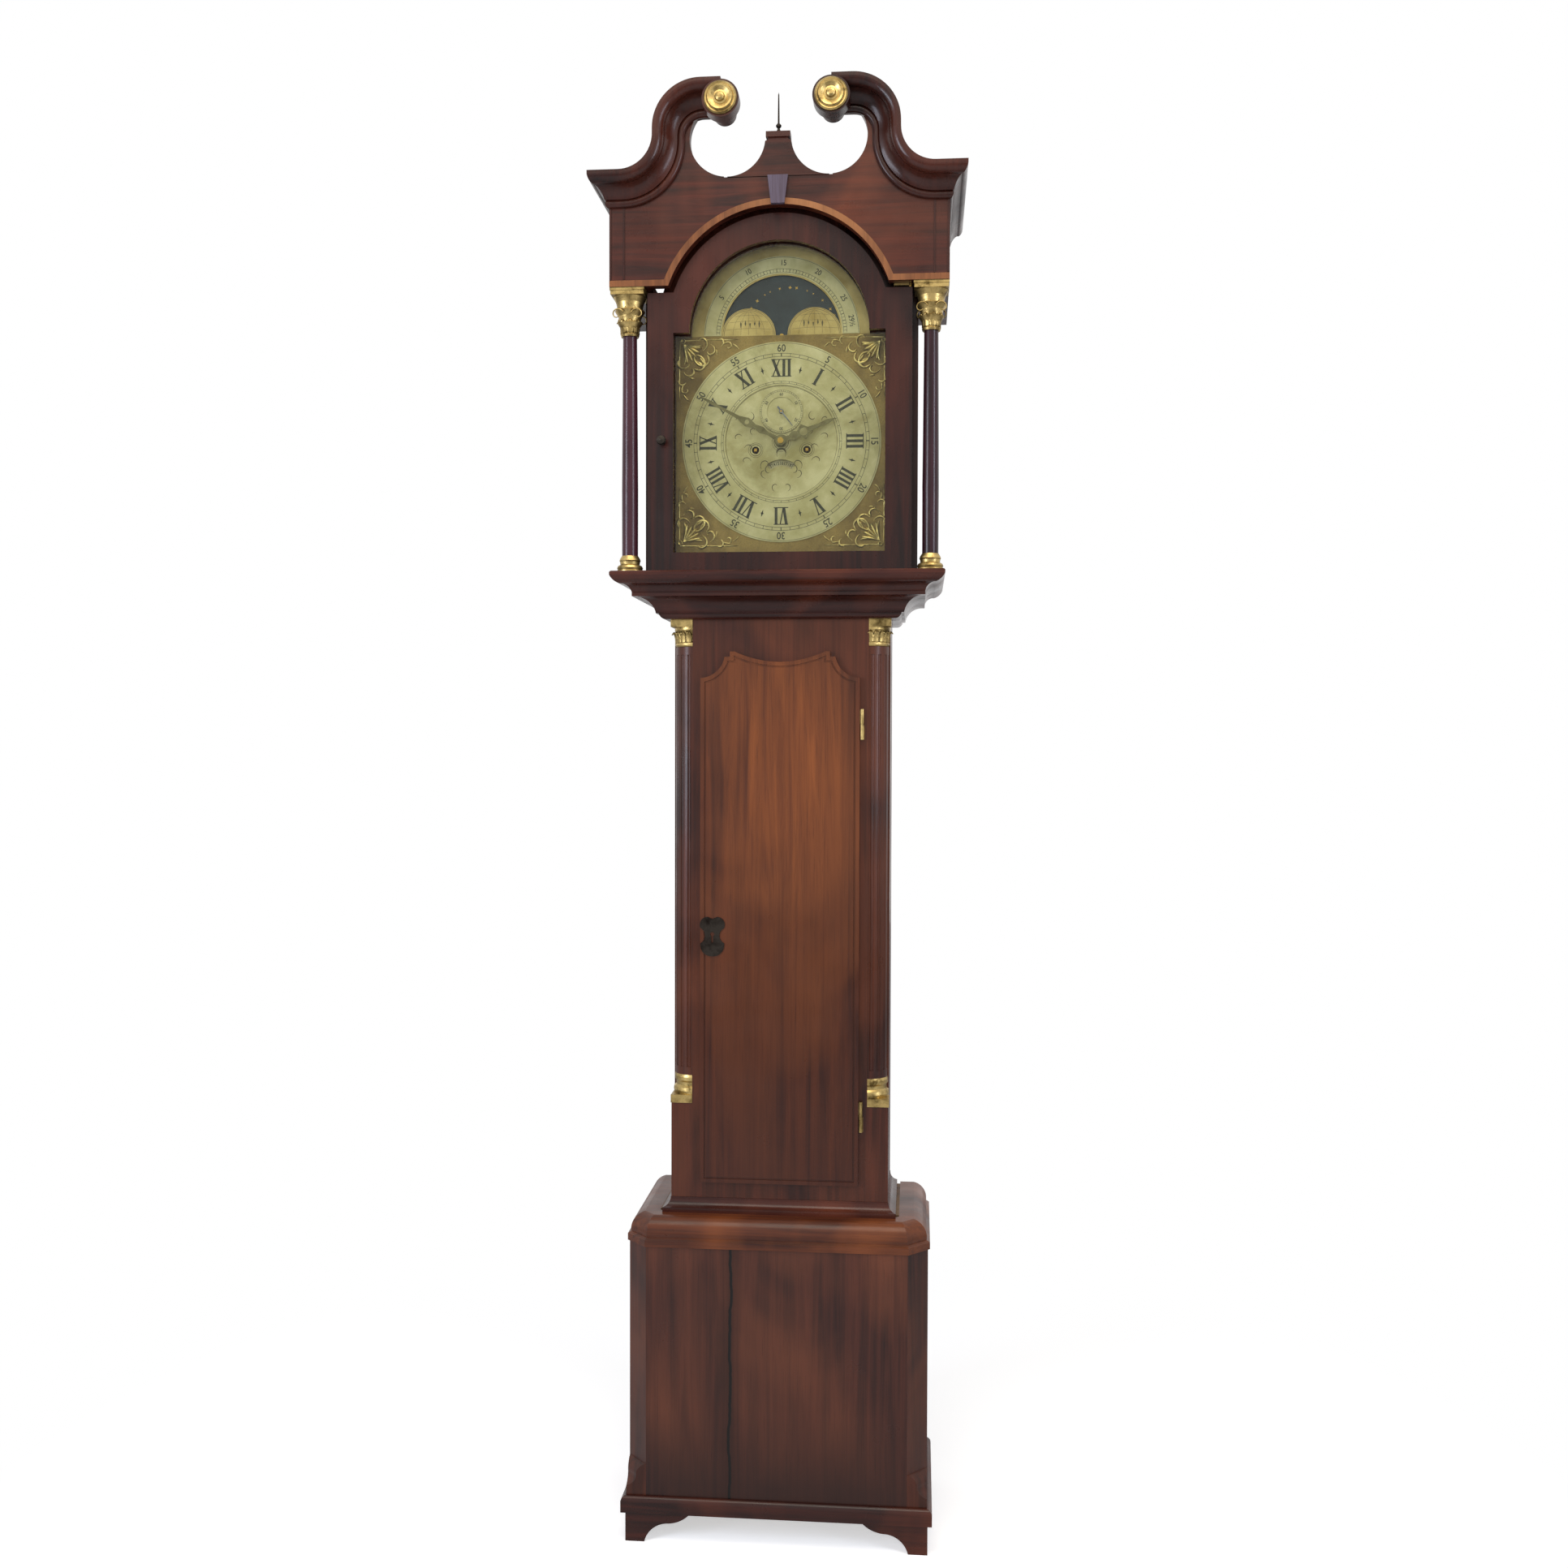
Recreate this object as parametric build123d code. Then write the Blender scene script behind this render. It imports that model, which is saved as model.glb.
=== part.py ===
# Longcase clock, about 2.17 m tall: a canted base on bracket feet, a trunk with fluted quarter columns
# and a shaped door, and a hood with a swan-neck pediment, free columns and an arched glazed door.
# Inside it holds an eight-day movement with dial, moon, pendulum, bell and two weights.
# Millimetres. +Z up, +Y towards the wall, origin on the floor under the middle of the whole clock.
import math
import os

from build123d import *

os.makedirs("parts", exist_ok=True)

# Base and feet
base_half = 227.0            # half width over the base sides
base_step = 48.0             # base front stands this far before the trunk front
cant = 30.0                  # canted corner of the base
board = 18.0                 # base and plinth board thickness
plinth_top = 70.0            # top of the bracket plinth
base_top = 450.0             # top of the base panels
foot_width = 29.0
foot_lip = 1.0               # plinth board stands proud of the base by this
apron_rise = 44.0            # height of the apron between the feet
band_height = 24.0
band_reach = 6.5
cant_stop_low = 84.0         # the cant runs out between these heights
cant_stop_high = 118.0
base_mould_height = 42.0
base_mould_lip = 3.0
base_mould_in = 44.0         # how far the base moulding reaches in over the base

# Trunk
trunk_half = 166.0
trunk_depth = 185.0
back_thick = 12.0
side_thick = 14.0
frame_thick = 16.0
trunk_mould_height = 21.0
trunk_mould_reach = 12.0
column_notch = 32.0          # square corner recess for the quarter column
quarter_radius = 30.0
flute_radius = 3.0
flute_count = 4
quarter_base_low = 658.0
quarter_base_high = 700.0
quarter_cap_low = 1356.0
throat_low = 1397.0
throat_high = 1433.0
throat_reach = 52.0
cheek_top = 1582.0
back_half = 188.0            # half width and top of the board behind the hood
back_top = 1985.0

# Trunk door
door_half = 121.0
door_low = 538.0
door_shoulder = 1308.0
door_notch_x = 84.0
door_notch_z = 1340.0
door_peak_x = 69.0
door_peak_z = 1348.0
door_dip_z = 1332.0
door_lip = 8.0               # lip standing before the trunk front
door_lap = 12.0              # lip overlap on the frame
door_gap = 1.0
door_depth = 14.0            # part of the door inside the opening

# Hood
hood_base_high = 1463.0
hood_base_half = 246.5
wall_half = 206.0            # outer face of the hood side walls
wall_thick = 16.0
frieze_half = 251.0
frieze_low = 1885.0
cornice_top = 2042.0
frieze_step = 55.0           # frieze front stands this far before the trunk front
frieze_thick = 15.0
cornice_height = 42.0
cornice_reach = 25.0
neck_reach = 42.0            # how far the pediment moulding stands out in front
scroll_x = 80.0
scroll_z = 2138.0
scroll_radius = 27.0
scroll_core = 17.0           # radius of the scroll behind its drum
drum_depth = 22.0
neck_turn_low = 50.0         # top edge radius of the lower turn of the swan neck
neck_turn_high = 70.0        # top edge radius of the upper turn
neck_rise = 8.0              # straight stretch between the turns
cutout_x = 75.0
cutout_z = 2098.0
cutout_radius = 56.0
patera_radius = 24.0
patera_relief = 8.0
plinth_half = 18.0           # finial block between the scrolls
finial_block_top = 2105.0
spike_top = 2165.0
arch_radius = 172.6
arch_centre = 1827.4
band_width = 9.0             # light banding along the frieze edge

# Hood columns
column_x = 225.0
column_back = 28.0           # column axis before the trunk front
column_radius_low = 12.0
column_radius_high = 10.5
column_base_high = 1490.0
column_cap_low = 1817.0
abacus_half = 26.0

# Hood door
hood_door_half = 197.0
hood_door_low = 1467.0
hood_door_shoulder = 1880.0
hood_door_radius = 166.0
hood_door_front = 38.0       # door face before the trunk front
hood_door_thick = 20.0
sight_half = 158.0
sight_low = 1494.0
sight_shoulder = 1820.0
sight_radius = 134.0
glass_thick = 3.0
glass_lap = 6.0
mask_front = 16.0
mask_thick = 8.0
mask_lap = 14.0              # the mask hides the slit round the door arch

# Dial
dial_half = 165.0
dial_z = 1665.0
dial_back = 8.0              # dial face behind the trunk front
dial_thick = 2.5
dial_arch_z = 1826.0
dial_arch_radius = 142.0
chapter_outer = 151.0
chapter_inner = 86.0
ring_thick = 1.5
seconds_rise = 46.0
seconds_radius = 33.0
wind_x = 39.0
wind_drop = 11.6
moon_opening = 90.0
moon_disc_radius = 97.0
hump_x = 50.0
hump_radius = 41.0
lunar_outer = 118.0
date_drop = 62.0
date_radius = 38.0

# Movement
plate_front = 38.0
plate_thick = 3.0
plate_gap = 60.0
plate_half = 65.0
plate_low = 1600.0
plate_high = 1765.0
barrel_radius = 24.0
barrel_start = 58.0
barrel_end = 86.0
arbor_radius = 3.0
seat_thick = 18.0
great_teeth = 96
centre_teeth = 60
third_teeth = 56
escape_teeth = 30
pinion_leaves = 8
escape_leaves = 7
third_x = 18.0
motion_teeth = 40
hour_teeth = 72
minute_leaves = 6
motion_drop = 30.0
wheel_thick = 2.2
seat_gap = 0.3               # between bodies that rest on or against each other
running = 0.06               # radial clearance of a pivot in its plate
pallet_z = 1745.0
pendulum_y = 118.0
pendulum_length = 969.0      # suspension to bob centre
bob_radius = 50.0
bob_thick = 28.0
rod_radius = 2.5
pulley_radius = 17.0
line_radius = 0.75
pulley_z = 900.0
weight_radius = 30.0
weight_height = 190.0

# Derived places
front_reach = frieze_step + neck_reach + patera_relief + 3.0
total_depth = trunk_depth + front_reach
wall_y = total_depth / 2
trunk_y = wall_y - trunk_depth


def at(depth):
    """Y of a plane this far behind the trunk front."""
    return trunk_y + depth


def block(x0, x1, y0, y1, z0, z1):
    """Box between two corners; y is measured from the trunk front."""
    size = (abs(x1 - x0), abs(y1 - y0), abs(z1 - z0))
    return Pos((x0 + x1) / 2, at((y0 + y1) / 2), (z0 + z1) / 2) * Box(*size)


def rod(x, z, radius, y0, y1):
    """Round bar along Y."""
    return Pos(x, at((y0 + y1) / 2), z) * Rot(90, 0, 0) * Cylinder(radius, abs(y1 - y0))


def plate(face, y0, y1):
    """A face drawn in X (sideways) and Z (up) made a plate between two depths."""
    lifted = Plane(origin=(0, at(y1), 0), x_dir=(1, 0, 0), z_dir=(0, -1, 0)) * face
    return extrude(lifted, amount=y1 - y0, dir=(0, -1, 0))


def outline(*edges):
    return make_face(Wire(list(edges)))


def both(shape):
    """The shape and its mirror image across the clock's middle plane."""
    return Compound(children=[shape, mirror(shape, about=Plane.YZ)])


def loop(points):
    return make_face(Polyline(*points, close=True))


def turned(points, x, y, z=0.0, angle=360.0, start=0.0):
    """Solid turned about an upright axis from (radius, height) points."""
    face = Plane.XZ * loop(points)
    return Pos(x, y, z) * Rot(0, 0, start) * revolve(face, Axis.Z, angle)


nodes = {}


def add(node, shape):
    """Keep a shape under the name of the piece it belongs to."""
    nodes.setdefault(node, []).append(shape)


def mirrored(edges):
    """Face drawn as one half from middle line to middle line, with its mirror image joined on."""
    half = outline(*edges, Line(edges[-1] @ 1, edges[0] @ 0))
    return half + mirror(half, about=Plane.YZ)


# Base
def moulding_run(profile, corners):
    """Mitred moulding: a profile of (outwards, height) points swept along a plan path of (x, depth)."""
    points = [(x, at(d), 0) for x, d in corners]
    path = Polyline(*points)
    first, second = Vector(*points[0]), Vector(*points[1])
    along = (second - first).normalized()
    outward = along.cross(Vector(0, 0, 1))
    plane = Plane(origin=points[0], x_dir=outward, z_dir=along * -1)
    if plane.y_dir.Z < 0:
        plane = Plane(origin=points[0], x_dir=outward, z_dir=along)
    return sweep(plane * profile, path=path, transition=Transition.RIGHT)


def ushape(half, front, back):
    """Plan path round the left side, the front and the right side, run so that outwards is to its right."""
    return [(-half, back), (-half, front), (half, front), (half, back)]


def apron(half, arch_end, foot_end, low=0.0, high=plinth_top):
    """Bracket board with a foot at each end and an ogee apron between."""
    inner = foot_end
    hollow = arch_end + 35
    edges = [
        Line((0, high), (-half, high)),
        Line((-half, high), (-half, low)),
        Line((-half, low), (-inner, low)),
        ThreePointArc((-inner, low), (-inner + 11, low + 19), (-hollow, low + 29)),
        ThreePointArc((-hollow, low + 29), (-hollow + 19, low + 33), (-arch_end, apron_rise)),
        Line((-arch_end, apron_rise), (0, apron_rise)),
    ]
    return mirrored(edges)


def make_base():
    front = -base_step
    back = trunk_depth
    add("base_front_panel", block(-base_half + cant, base_half - cant, front, front + board,
                                   plinth_top, base_top))
    side = block(base_half - board, base_half, front + cant, back - back_thick, plinth_top, base_top)
    add("base_sides", both(side))

    corner_in = base_half - cant
    strip = loop([(corner_in, front), (base_half, front + cant), (base_half - board, front + cant),
                  (corner_in, front + board)])
    post = extrude(Pos(0, trunk_y, plinth_top) * strip, amount=base_top - plinth_top)
    corner = loop([(corner_in, front), (base_half, front), (base_half, front + cant)])
    prism = extrude(Pos(0, trunk_y, plinth_top) * corner, amount=cant_stop_high - plinth_top)
    full = cant / math.sqrt(2)
    mid_z = (cant_stop_low + cant_stop_high) / 2
    stop = outline(
        Line((0, plinth_top), (full + 1, plinth_top)),
        Line((full + 1, plinth_top), (full + 1, cant_stop_low)),
        Line((full + 1, cant_stop_low), (full, cant_stop_low)),
        ThreePointArc((full, cant_stop_low), (full * 0.68, cant_stop_low + 5), (full / 2, mid_z)),
        ThreePointArc((full / 2, mid_z), (full * 0.32, cant_stop_high - 5), (0, cant_stop_high)),
        Line((0, cant_stop_high), (0, plinth_top)),
    )
    diagonal = Vector(1, -1, 0).normalized()
    origin = Vector(corner_in + cant / 2, at(front + cant / 2), 0)
    tongue_plane = Plane(origin=origin, x_dir=diagonal, z_dir=diagonal.cross(Vector(0, 0, 1)))
    tongue = extrude(tongue_plane * stop, amount=cant, both=True)
    add("base_sides", both(post + (prism & tongue)))

    floor = loop([(-corner_in, front + board), (corner_in, front + board),
                  (base_half - board, front + cant), (base_half - board, back - back_thick),
                  (board - base_half, back - back_thick), (board - base_half, front + cant)])
    add("back_boards", extrude(Pos(0, trunk_y, plinth_top) * floor, amount=12))

    low = base_top
    lip = base_mould_lip
    high = base_top + base_mould_height
    profile = outline(
        Line((-base_mould_in, low), (lip, low)),
        Line((lip, low), (lip, low + 10)),
        Line((lip, low + 10), (-2, low + 13)),
        ThreePointArc((-2, low + 13), (-6.5, low + 32), (-22, high)),
        Line((-22, high), (-base_mould_in, high)),
        Line((-base_mould_in, high), (-base_mould_in, low)),
    )
    path = [(-base_half, back), (-base_half, front + cant), (-base_half + cant, front),
            (base_half - cant, front), (base_half, front + cant), (base_half, back)]
    add("base_top_moulding", moulding_run(profile, path))
    strip_in = base_half - base_mould_in
    add("back_boards", both(block(trunk_half, strip_in, 6, back - back_thick, high - 12, high)))

    plinth_half_width = base_half + foot_lip
    plinth_front = front - foot_lip - 1
    face = apron(plinth_half_width, 130.0, plinth_half_width - foot_width)
    add("bracket_plinth", plate(face, plinth_front, plinth_front + board))
    length = back - (plinth_front + board)
    side_face = apron(length / 2, 40.0, length / 2 - foot_width)
    mid_depth = plinth_front + board + length / 2
    plane = Plane(origin=(plinth_half_width - board, at(mid_depth), 0), x_dir=(0, 1, 0), z_dir=(1, 0, 0))
    add("bracket_plinth", both(extrude(plane * side_face, amount=board)))
    band_low = plinth_top - band_height
    band = outline(
        Line((0, band_low), (band_reach, band_low)),
        Line((band_reach, band_low), (band_reach, plinth_top - 9)),
        ThreePointArc((band_reach, plinth_top - 9), (band_reach - 1.5, plinth_top - 3), (1, plinth_top)),
        Line((1, plinth_top), (0, plinth_top)),
        Line((0, plinth_top), (0, band_low)),
    )
    add("plinth_band", moulding_run(band, ushape(plinth_half_width, plinth_front, back)))


# Trunk
def trunk_door_face(inset=0.0):
    """The shaped door outline, taken in all round by inset."""
    edges = [
        ThreePointArc((0, door_dip_z), (-door_peak_x / 2, door_dip_z + 4.2), (-door_peak_x, door_peak_z)),
        Line((-door_peak_x, door_peak_z), (-door_peak_x - 7, door_peak_z)),
        Line((-door_peak_x - 7, door_peak_z), (-door_peak_x - 7, door_notch_z)),
        Line((-door_peak_x - 7, door_notch_z), (-door_notch_x, door_notch_z)),
        ThreePointArc((-door_notch_x, door_notch_z), (-door_notch_x - 12, door_notch_z - 22),
                      (-door_half, door_shoulder)),
        Line((-door_half, door_shoulder), (-door_half, door_low)),
        Line((-door_half, door_low), (0, door_low)),
    ]
    face = mirrored(edges)
    if inset:
        face = offset(face, amount=-inset, kind=Kind.INTERSECTION)
    return face


def hinge_pair(axis_x, axis_depth, low, length, radius):
    """A butt hinge: the fixed knuckle with its pin below, the moving knuckle above."""
    y = at(axis_depth)
    half = length / 2
    fixed = Pos(axis_x, y, low + half / 2) * Cylinder(radius, half)
    pin = Pos(axis_x, y, low + half + half * 0.4) * Cylinder(radius * 0.45, half * 0.8)
    moving = Pos(axis_x, y, low + half * 1.5 + 0.3) * Cylinder(radius, half - 0.6)
    bore = Pos(axis_x, y, low + half * 1.5) * Cylinder(radius * 0.45 + running, half * 1.2)
    return fixed + pin, moving - bore


def make_trunk():
    low = base_top + 5
    back = trunk_depth
    notch_in = trunk_half - column_notch
    panel = loop([(-notch_in, low), (notch_in, low), (notch_in, throat_high), (-notch_in, throat_high)])
    opening = trunk_door_face(door_lap - door_gap)
    add("trunk_front_frame", plate(panel - opening, 0, frame_thick))

    inner = notch_in - 16
    post = block(inner, notch_in, frame_thick, column_notch + side_thick, low, throat_high)
    post += block(notch_in, trunk_half, column_notch, column_notch + side_thick, low, throat_high)
    post += block(notch_in, trunk_half, 0, column_notch, low, quarter_base_low)
    post += block(notch_in, trunk_half, 0, column_notch, throat_low, throat_high)
    add("trunk_sides", both(post))

    side = block(trunk_half - side_thick, trunk_half, column_notch + side_thick, back - back_thick,
                 low, throat_high)
    cheek = block(trunk_half - side_thick, trunk_half, column_notch + side_thick, 150,
                  throat_high, cheek_top)
    add("trunk_sides", both(side + cheek))

    for half, z0, z1 in ((base_half, plinth_top, base_top), (trunk_half, base_top, throat_high),
                         (back_half, throat_high, back_top)):
        add("back_boards", block(-half, half, back - back_thick, back, z0, z1))

    foot_low = base_top + base_mould_height
    foot_high = foot_low + trunk_mould_height
    reach = trunk_mould_reach
    foot = outline(
        Line((0, foot_low), (reach, foot_low)),
        Line((reach, foot_low), (reach, foot_low + 7)),
        ThreePointArc((reach, foot_low + 7), (reach * 0.35, foot_low + 11), (1, foot_high)),
        Line((1, foot_high), (0, foot_high)),
        Line((0, foot_high), (0, foot_low)),
    )
    add("trunk_foot_moulding", moulding_run(foot, ushape(trunk_half, 0, back - back_thick)))

    throat = outline(
        Line((0, throat_low), (8, throat_low)),
        ThreePointArc((8, throat_low), (14, throat_low + 2.5), (17, throat_low + 8)),
        Line((17, throat_low + 8), (21, throat_low + 8)),
        ThreePointArc((21, throat_low + 8), (29.5, throat_high - 12), (throat_reach - 3, throat_high - 5)),
        Line((throat_reach - 3, throat_high - 5), (throat_reach, throat_high - 5)),
        Line((throat_reach, throat_high - 5), (throat_reach, throat_high)),
        Line((throat_reach, throat_high), (0, throat_high)),
        Line((0, throat_high), (0, throat_low)),
    )
    add("throat_moulding", moulding_run(throat, ushape(trunk_half, 0, back - back_thick)))


def make_quarter_columns():
    axis_x = trunk_half - column_notch
    y = at(column_notch)
    shaft = turned([(0, quarter_base_high), (quarter_radius, quarter_base_high),
                    (quarter_radius, quarter_cap_low), (0, quarter_cap_low)], axis_x, y, 0, 90, -90)
    length = quarter_cap_low - quarter_base_high
    flute_low = quarter_base_high + 12
    for i in range(flute_count):
        angle = math.radians(-90 + 90 * (i + 0.5) / flute_count)
        fx = axis_x + (quarter_radius + 0.8) * math.cos(angle)
        fy = y + (quarter_radius + 0.8) * math.sin(angle)
        shaft -= Pos(fx, fy, flute_low + (length - 24) / 2) * Cylinder(flute_radius, length - 24)
    add("quarter_columns", both(shaft))

    r = quarter_radius
    low, high = quarter_cap_low, throat_low
    capital = [(0, low), (r - 1, low), (r + 1, low + 3), (r + 1, low + 6), (r - 2, low + 9),
               (r - 2, low + 18), (r, low + 20), (r + 2, low + 26), (r + 2, low + 30), (0, low + 30)]
    cap = turned(capital, axis_x, y, 0, 90, -90)
    cap += block(axis_x, axis_x + r + 3.5, column_notch - r - 3.5, column_notch, low + 30, high)
    add("trunk_brasses", both(cap))
    low, high = quarter_base_low, quarter_base_high
    foot = [(0, low + 12), (r + 2, low + 12), (r + 3, low + 17), (r + 2, low + 22), (r - 1, low + 25),
            (r - 1, low + 30), (r + 1, low + 33), (r + 1, low + 38), (r, high), (0, high)]
    ped = turned(foot, axis_x, y, 0, 90, -90)
    ped += block(axis_x, axis_x + r + 3, column_notch - r - 3, column_notch, low, low + 12)
    add("trunk_brasses", both(ped))


hinge_lows = (620.0, 1215.0)
hinge_x = door_half + 3.2
hinge_depth = -4.0


def make_trunk_door():
    slab = plate(trunk_door_face(), -door_lip, -seat_gap)
    rim = plate(trunk_door_face(6.0), -door_lip - 1, -door_lip + 1.6)
    inner = plate(trunk_door_face(9.0), -door_lip - 1, -door_lip + 1.6)
    slab = slab - (rim - inner)
    body = plate(trunk_door_face(door_lap), -seat_gap, door_depth)
    add("trunk_door_board", slab + body)

    fixed, moving = [], []
    for low in hinge_lows:
        still, turning = hinge_pair(hinge_x, hinge_depth, low, 46, 3.0)
        leaf = block(hinge_x, hinge_x + 3.6, hinge_depth + 2.0, 0, low, low + 22.5)
        fixed.append(still + leaf)
        arm = block(door_half, hinge_x - 2.0, hinge_depth - 1.0, hinge_depth + 1.0,
                    low + 23.6, low + 45.0)
        moving.append(turning + arm)
    add("trunk_brasses", Compound(children=fixed))
    add("trunk_hinge_knuckles", Compound(children=moving))

    esc_x, esc_z = -102.0, 915.0
    half = outline(
        Line((0, 27), (-7, 30)),
        ThreePointArc((-7, 30), (-17, 25), (-18, 13)),
        ThreePointArc((-18, 13), (-11, 1), (-18, -10)),
        ThreePointArc((-18, -10), (-15, -23), (0, -30)),
        Line((0, -30), (0, 27)),
    )
    shape = half + mirror(half, about=Plane.YZ)
    hole = Pos(0, 4) * Circle(3.2) + Pos(0, -3) * Rectangle(3, 12)
    add("trunk_lock", plate(Pos(esc_x, esc_z) * (shape - hole), -door_lip - 1.6, -door_lip))
    case = block(esc_x - 7, esc_x + 33, door_depth, door_depth + 12, esc_z - 26, esc_z + 26)
    add("trunk_lock", case)


# Hood
def neck_edge(width=0.0):
    """The left swan neck's top edge, moved inwards by width, as edges from the corner to the scroll."""
    top = cornice_top - width
    low_r = neck_turn_low + width
    high_r = neck_turn_high - width
    bend_x = -scroll_x - 30 - neck_turn_high
    start_x = bend_x - neck_turn_low
    mid_z = cornice_top + neck_turn_low
    d = math.sqrt(0.5)
    lo_c = (start_x, cornice_top + neck_turn_low)
    hi_c = (bend_x + neck_turn_high, mid_z + neck_rise)
    x = bend_x + width
    return [
        Line((-frieze_half - cornice_reach - 20, top), (start_x, top)),
        ThreePointArc((start_x, top), (lo_c[0] + low_r * d, lo_c[1] - low_r * d), (x, mid_z)),
        Line((x, mid_z), (x, mid_z + neck_rise)),
        ThreePointArc((x, mid_z + neck_rise), (hi_c[0] - high_r * d, hi_c[1] + high_r * d),
                      (hi_c[0], hi_c[1] + high_r)),
        Line((hi_c[0], hi_c[1] + high_r), (-scroll_x, hi_c[1] + high_r)),
    ]


def neck_strip(width):
    outer, inner = neck_edge(0), neck_edge(width)
    ends = [Line(outer[0] @ 0, inner[0] @ 0), Line(outer[-1] @ 1, inner[-1] @ 1)]
    return make_face(Wire(outer + inner + ends))


def cornice_profile():
    """Section of the pediment moulding: (outwards, down from the top edge)."""
    h, r = cornice_height, neck_reach
    return outline(
        Line((0, 0), (r, 0)),
        Line((r, 0), (r, -5)),
        ThreePointArc((r, -5), (r - 4.5, -13), (r - 12, -16)),
        Line((r - 12, -16), (r - 15, -16)),
        ThreePointArc((r - 15, -16), (r - 25, -21), (9, -h + 10)),
        Line((9, -h + 10), (6, -h + 10)),
        ThreePointArc((6, -h + 10), (7.5, -h + 4), (0, -h)),
        Line((0, -h), (0, 0)),
    )


def make_pediment():
    left = outline(
        Line((-frieze_half, frieze_low), (-frieze_half, cornice_top - 1)),
        Line((-frieze_half, cornice_top - 1), (0, cornice_top - 1)),
        Line((0, cornice_top - 1), (0, frieze_low)),
        Line((0, frieze_low), (-frieze_half, frieze_low)),
    )
    bend_x = -scroll_x - 30 - neck_turn_high
    reach = loop([(bend_x + 1, cornice_top - 2), (bend_x + 1, cornice_top + 62),
                  (-scroll_x - 30, scroll_z), (-scroll_x, scroll_z), (-scroll_x, cornice_top - 2)])
    neck = neck_strip(cornice_height - 4)
    trim = loop([(-frieze_half - 60, frieze_low), (-frieze_half, frieze_low), (-frieze_half, 2200),
                 (-frieze_half - 60, 2200)])
    left = (left + reach) - Pos(-cutout_x, cutout_z) * Circle(cutout_radius)
    left = left + (neck - trim) + Pos(-scroll_x, scroll_z) * Circle(scroll_core)
    block_face = loop([(-plinth_half + 3, cornice_top - 8), (-plinth_half + 3, finial_block_top - 8),
                       (0, finial_block_top - 8), (0, cornice_top - 8)])
    left = left + (block_face - Pos(-cutout_x, cutout_z) * Circle(cutout_radius))
    face = left + mirror(left, about=Plane.YZ)
    face -= Pos(0, arch_centre) * Circle(arch_radius)
    add("pediment_board", plate(face, -frieze_step, -frieze_step + frieze_thick))

    cap = block(-plinth_half, plinth_half, -frieze_step - 3, -frieze_step + frieze_thick + 3,
                finial_block_top - 8, finial_block_top)
    add("pediment_board", cap)
    spike = turned([(0, finial_block_top), (5, finial_block_top), (3, finial_block_top + 4),
                    (1.6, finial_block_top + 7), (4, finial_block_top + 10),
                    (4, finial_block_top + 12), (1.4, finial_block_top + 15), (0.9, spike_top - 4),
                    (0, spike_top)], 0, at(-frieze_step + frieze_thick / 2))
    add("finial_spike", spike)

    section = cornice_profile()
    plane = Plane(origin=(-frieze_half - cornice_reach - 20, at(-frieze_step), cornice_top),
                  x_dir=(0, -1, 0), z_dir=(-1, 0, 0))
    path = Plane.XZ.offset(-at(-frieze_step)) * Wire(neck_edge(0))
    return section, plane, path


def make_cornice():
    section, plane, path = make_pediment()
    neck = sweep(plane * section, path=path)
    corner_x = -frieze_half
    corner_y = at(-frieze_step)
    big = 400.0
    k = cornice_reach / neck_reach
    front_left = (corner_x - big * k, corner_y - big)
    front_right = (corner_x + big, corner_y - big)
    outer = loop([(corner_x, corner_y), front_left, front_right, (corner_x + big, corner_y)])
    keep_front = extrude(Pos(0, 0, frieze_low) * outer, amount=500)
    left_neck = neck & keep_front
    drum_front = -frieze_step - neck_reach - 3
    drum = rod(-scroll_x, scroll_z, scroll_radius, drum_front, drum_front + drum_depth)
    drum += rod(-scroll_x, scroll_z, scroll_core, drum_front + drum_depth, -frieze_step)
    left_neck = left_neck - drum
    add("pediment_mouldings", both(left_neck))
    add("pediment_mouldings", both(drum))

    side_section = scale(section, by=(k, 1, 1))
    side_plane = Plane(origin=(corner_x, at(trunk_depth), cornice_top), x_dir=(-1, 0, 0),
                       z_dir=(0, 1, 0))
    run = trunk_depth + frieze_step + neck_reach + 5
    side = extrude(side_plane * side_section, amount=-run)
    if side.bounding_box().min.Y > corner_y:
        side = extrude(side_plane * side_section, amount=run)
    back_part = loop([(corner_x, corner_y), (corner_x - big * k, corner_y - big),
                      (corner_x - big, corner_y - big), (corner_x - big, corner_y + big),
                      (corner_x, corner_y + big)])
    side = side & extrude(Pos(0, 0, frieze_low) * back_part, amount=500)
    add("pediment_mouldings", both(side))

    relief = patera_relief
    front = -frieze_step - neck_reach - 3
    rings = [(0, relief), (3, relief), (6, relief - 1.5), (7.5, relief - 4), (10, relief - 4.5),
             (15, relief - 1.5), (18, relief - 1), (20, relief - 4), (22, relief - 3.5),
             (patera_radius, relief - 6), (patera_radius, 0), (0, 0)]
    disc = revolve(Plane.XZ * loop(rings), Axis.Z, 360)
    boss = Pos(-scroll_x, at(front), scroll_z) * Rot(90, 0, 0) * disc
    add("paterae", both(boss))


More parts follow.
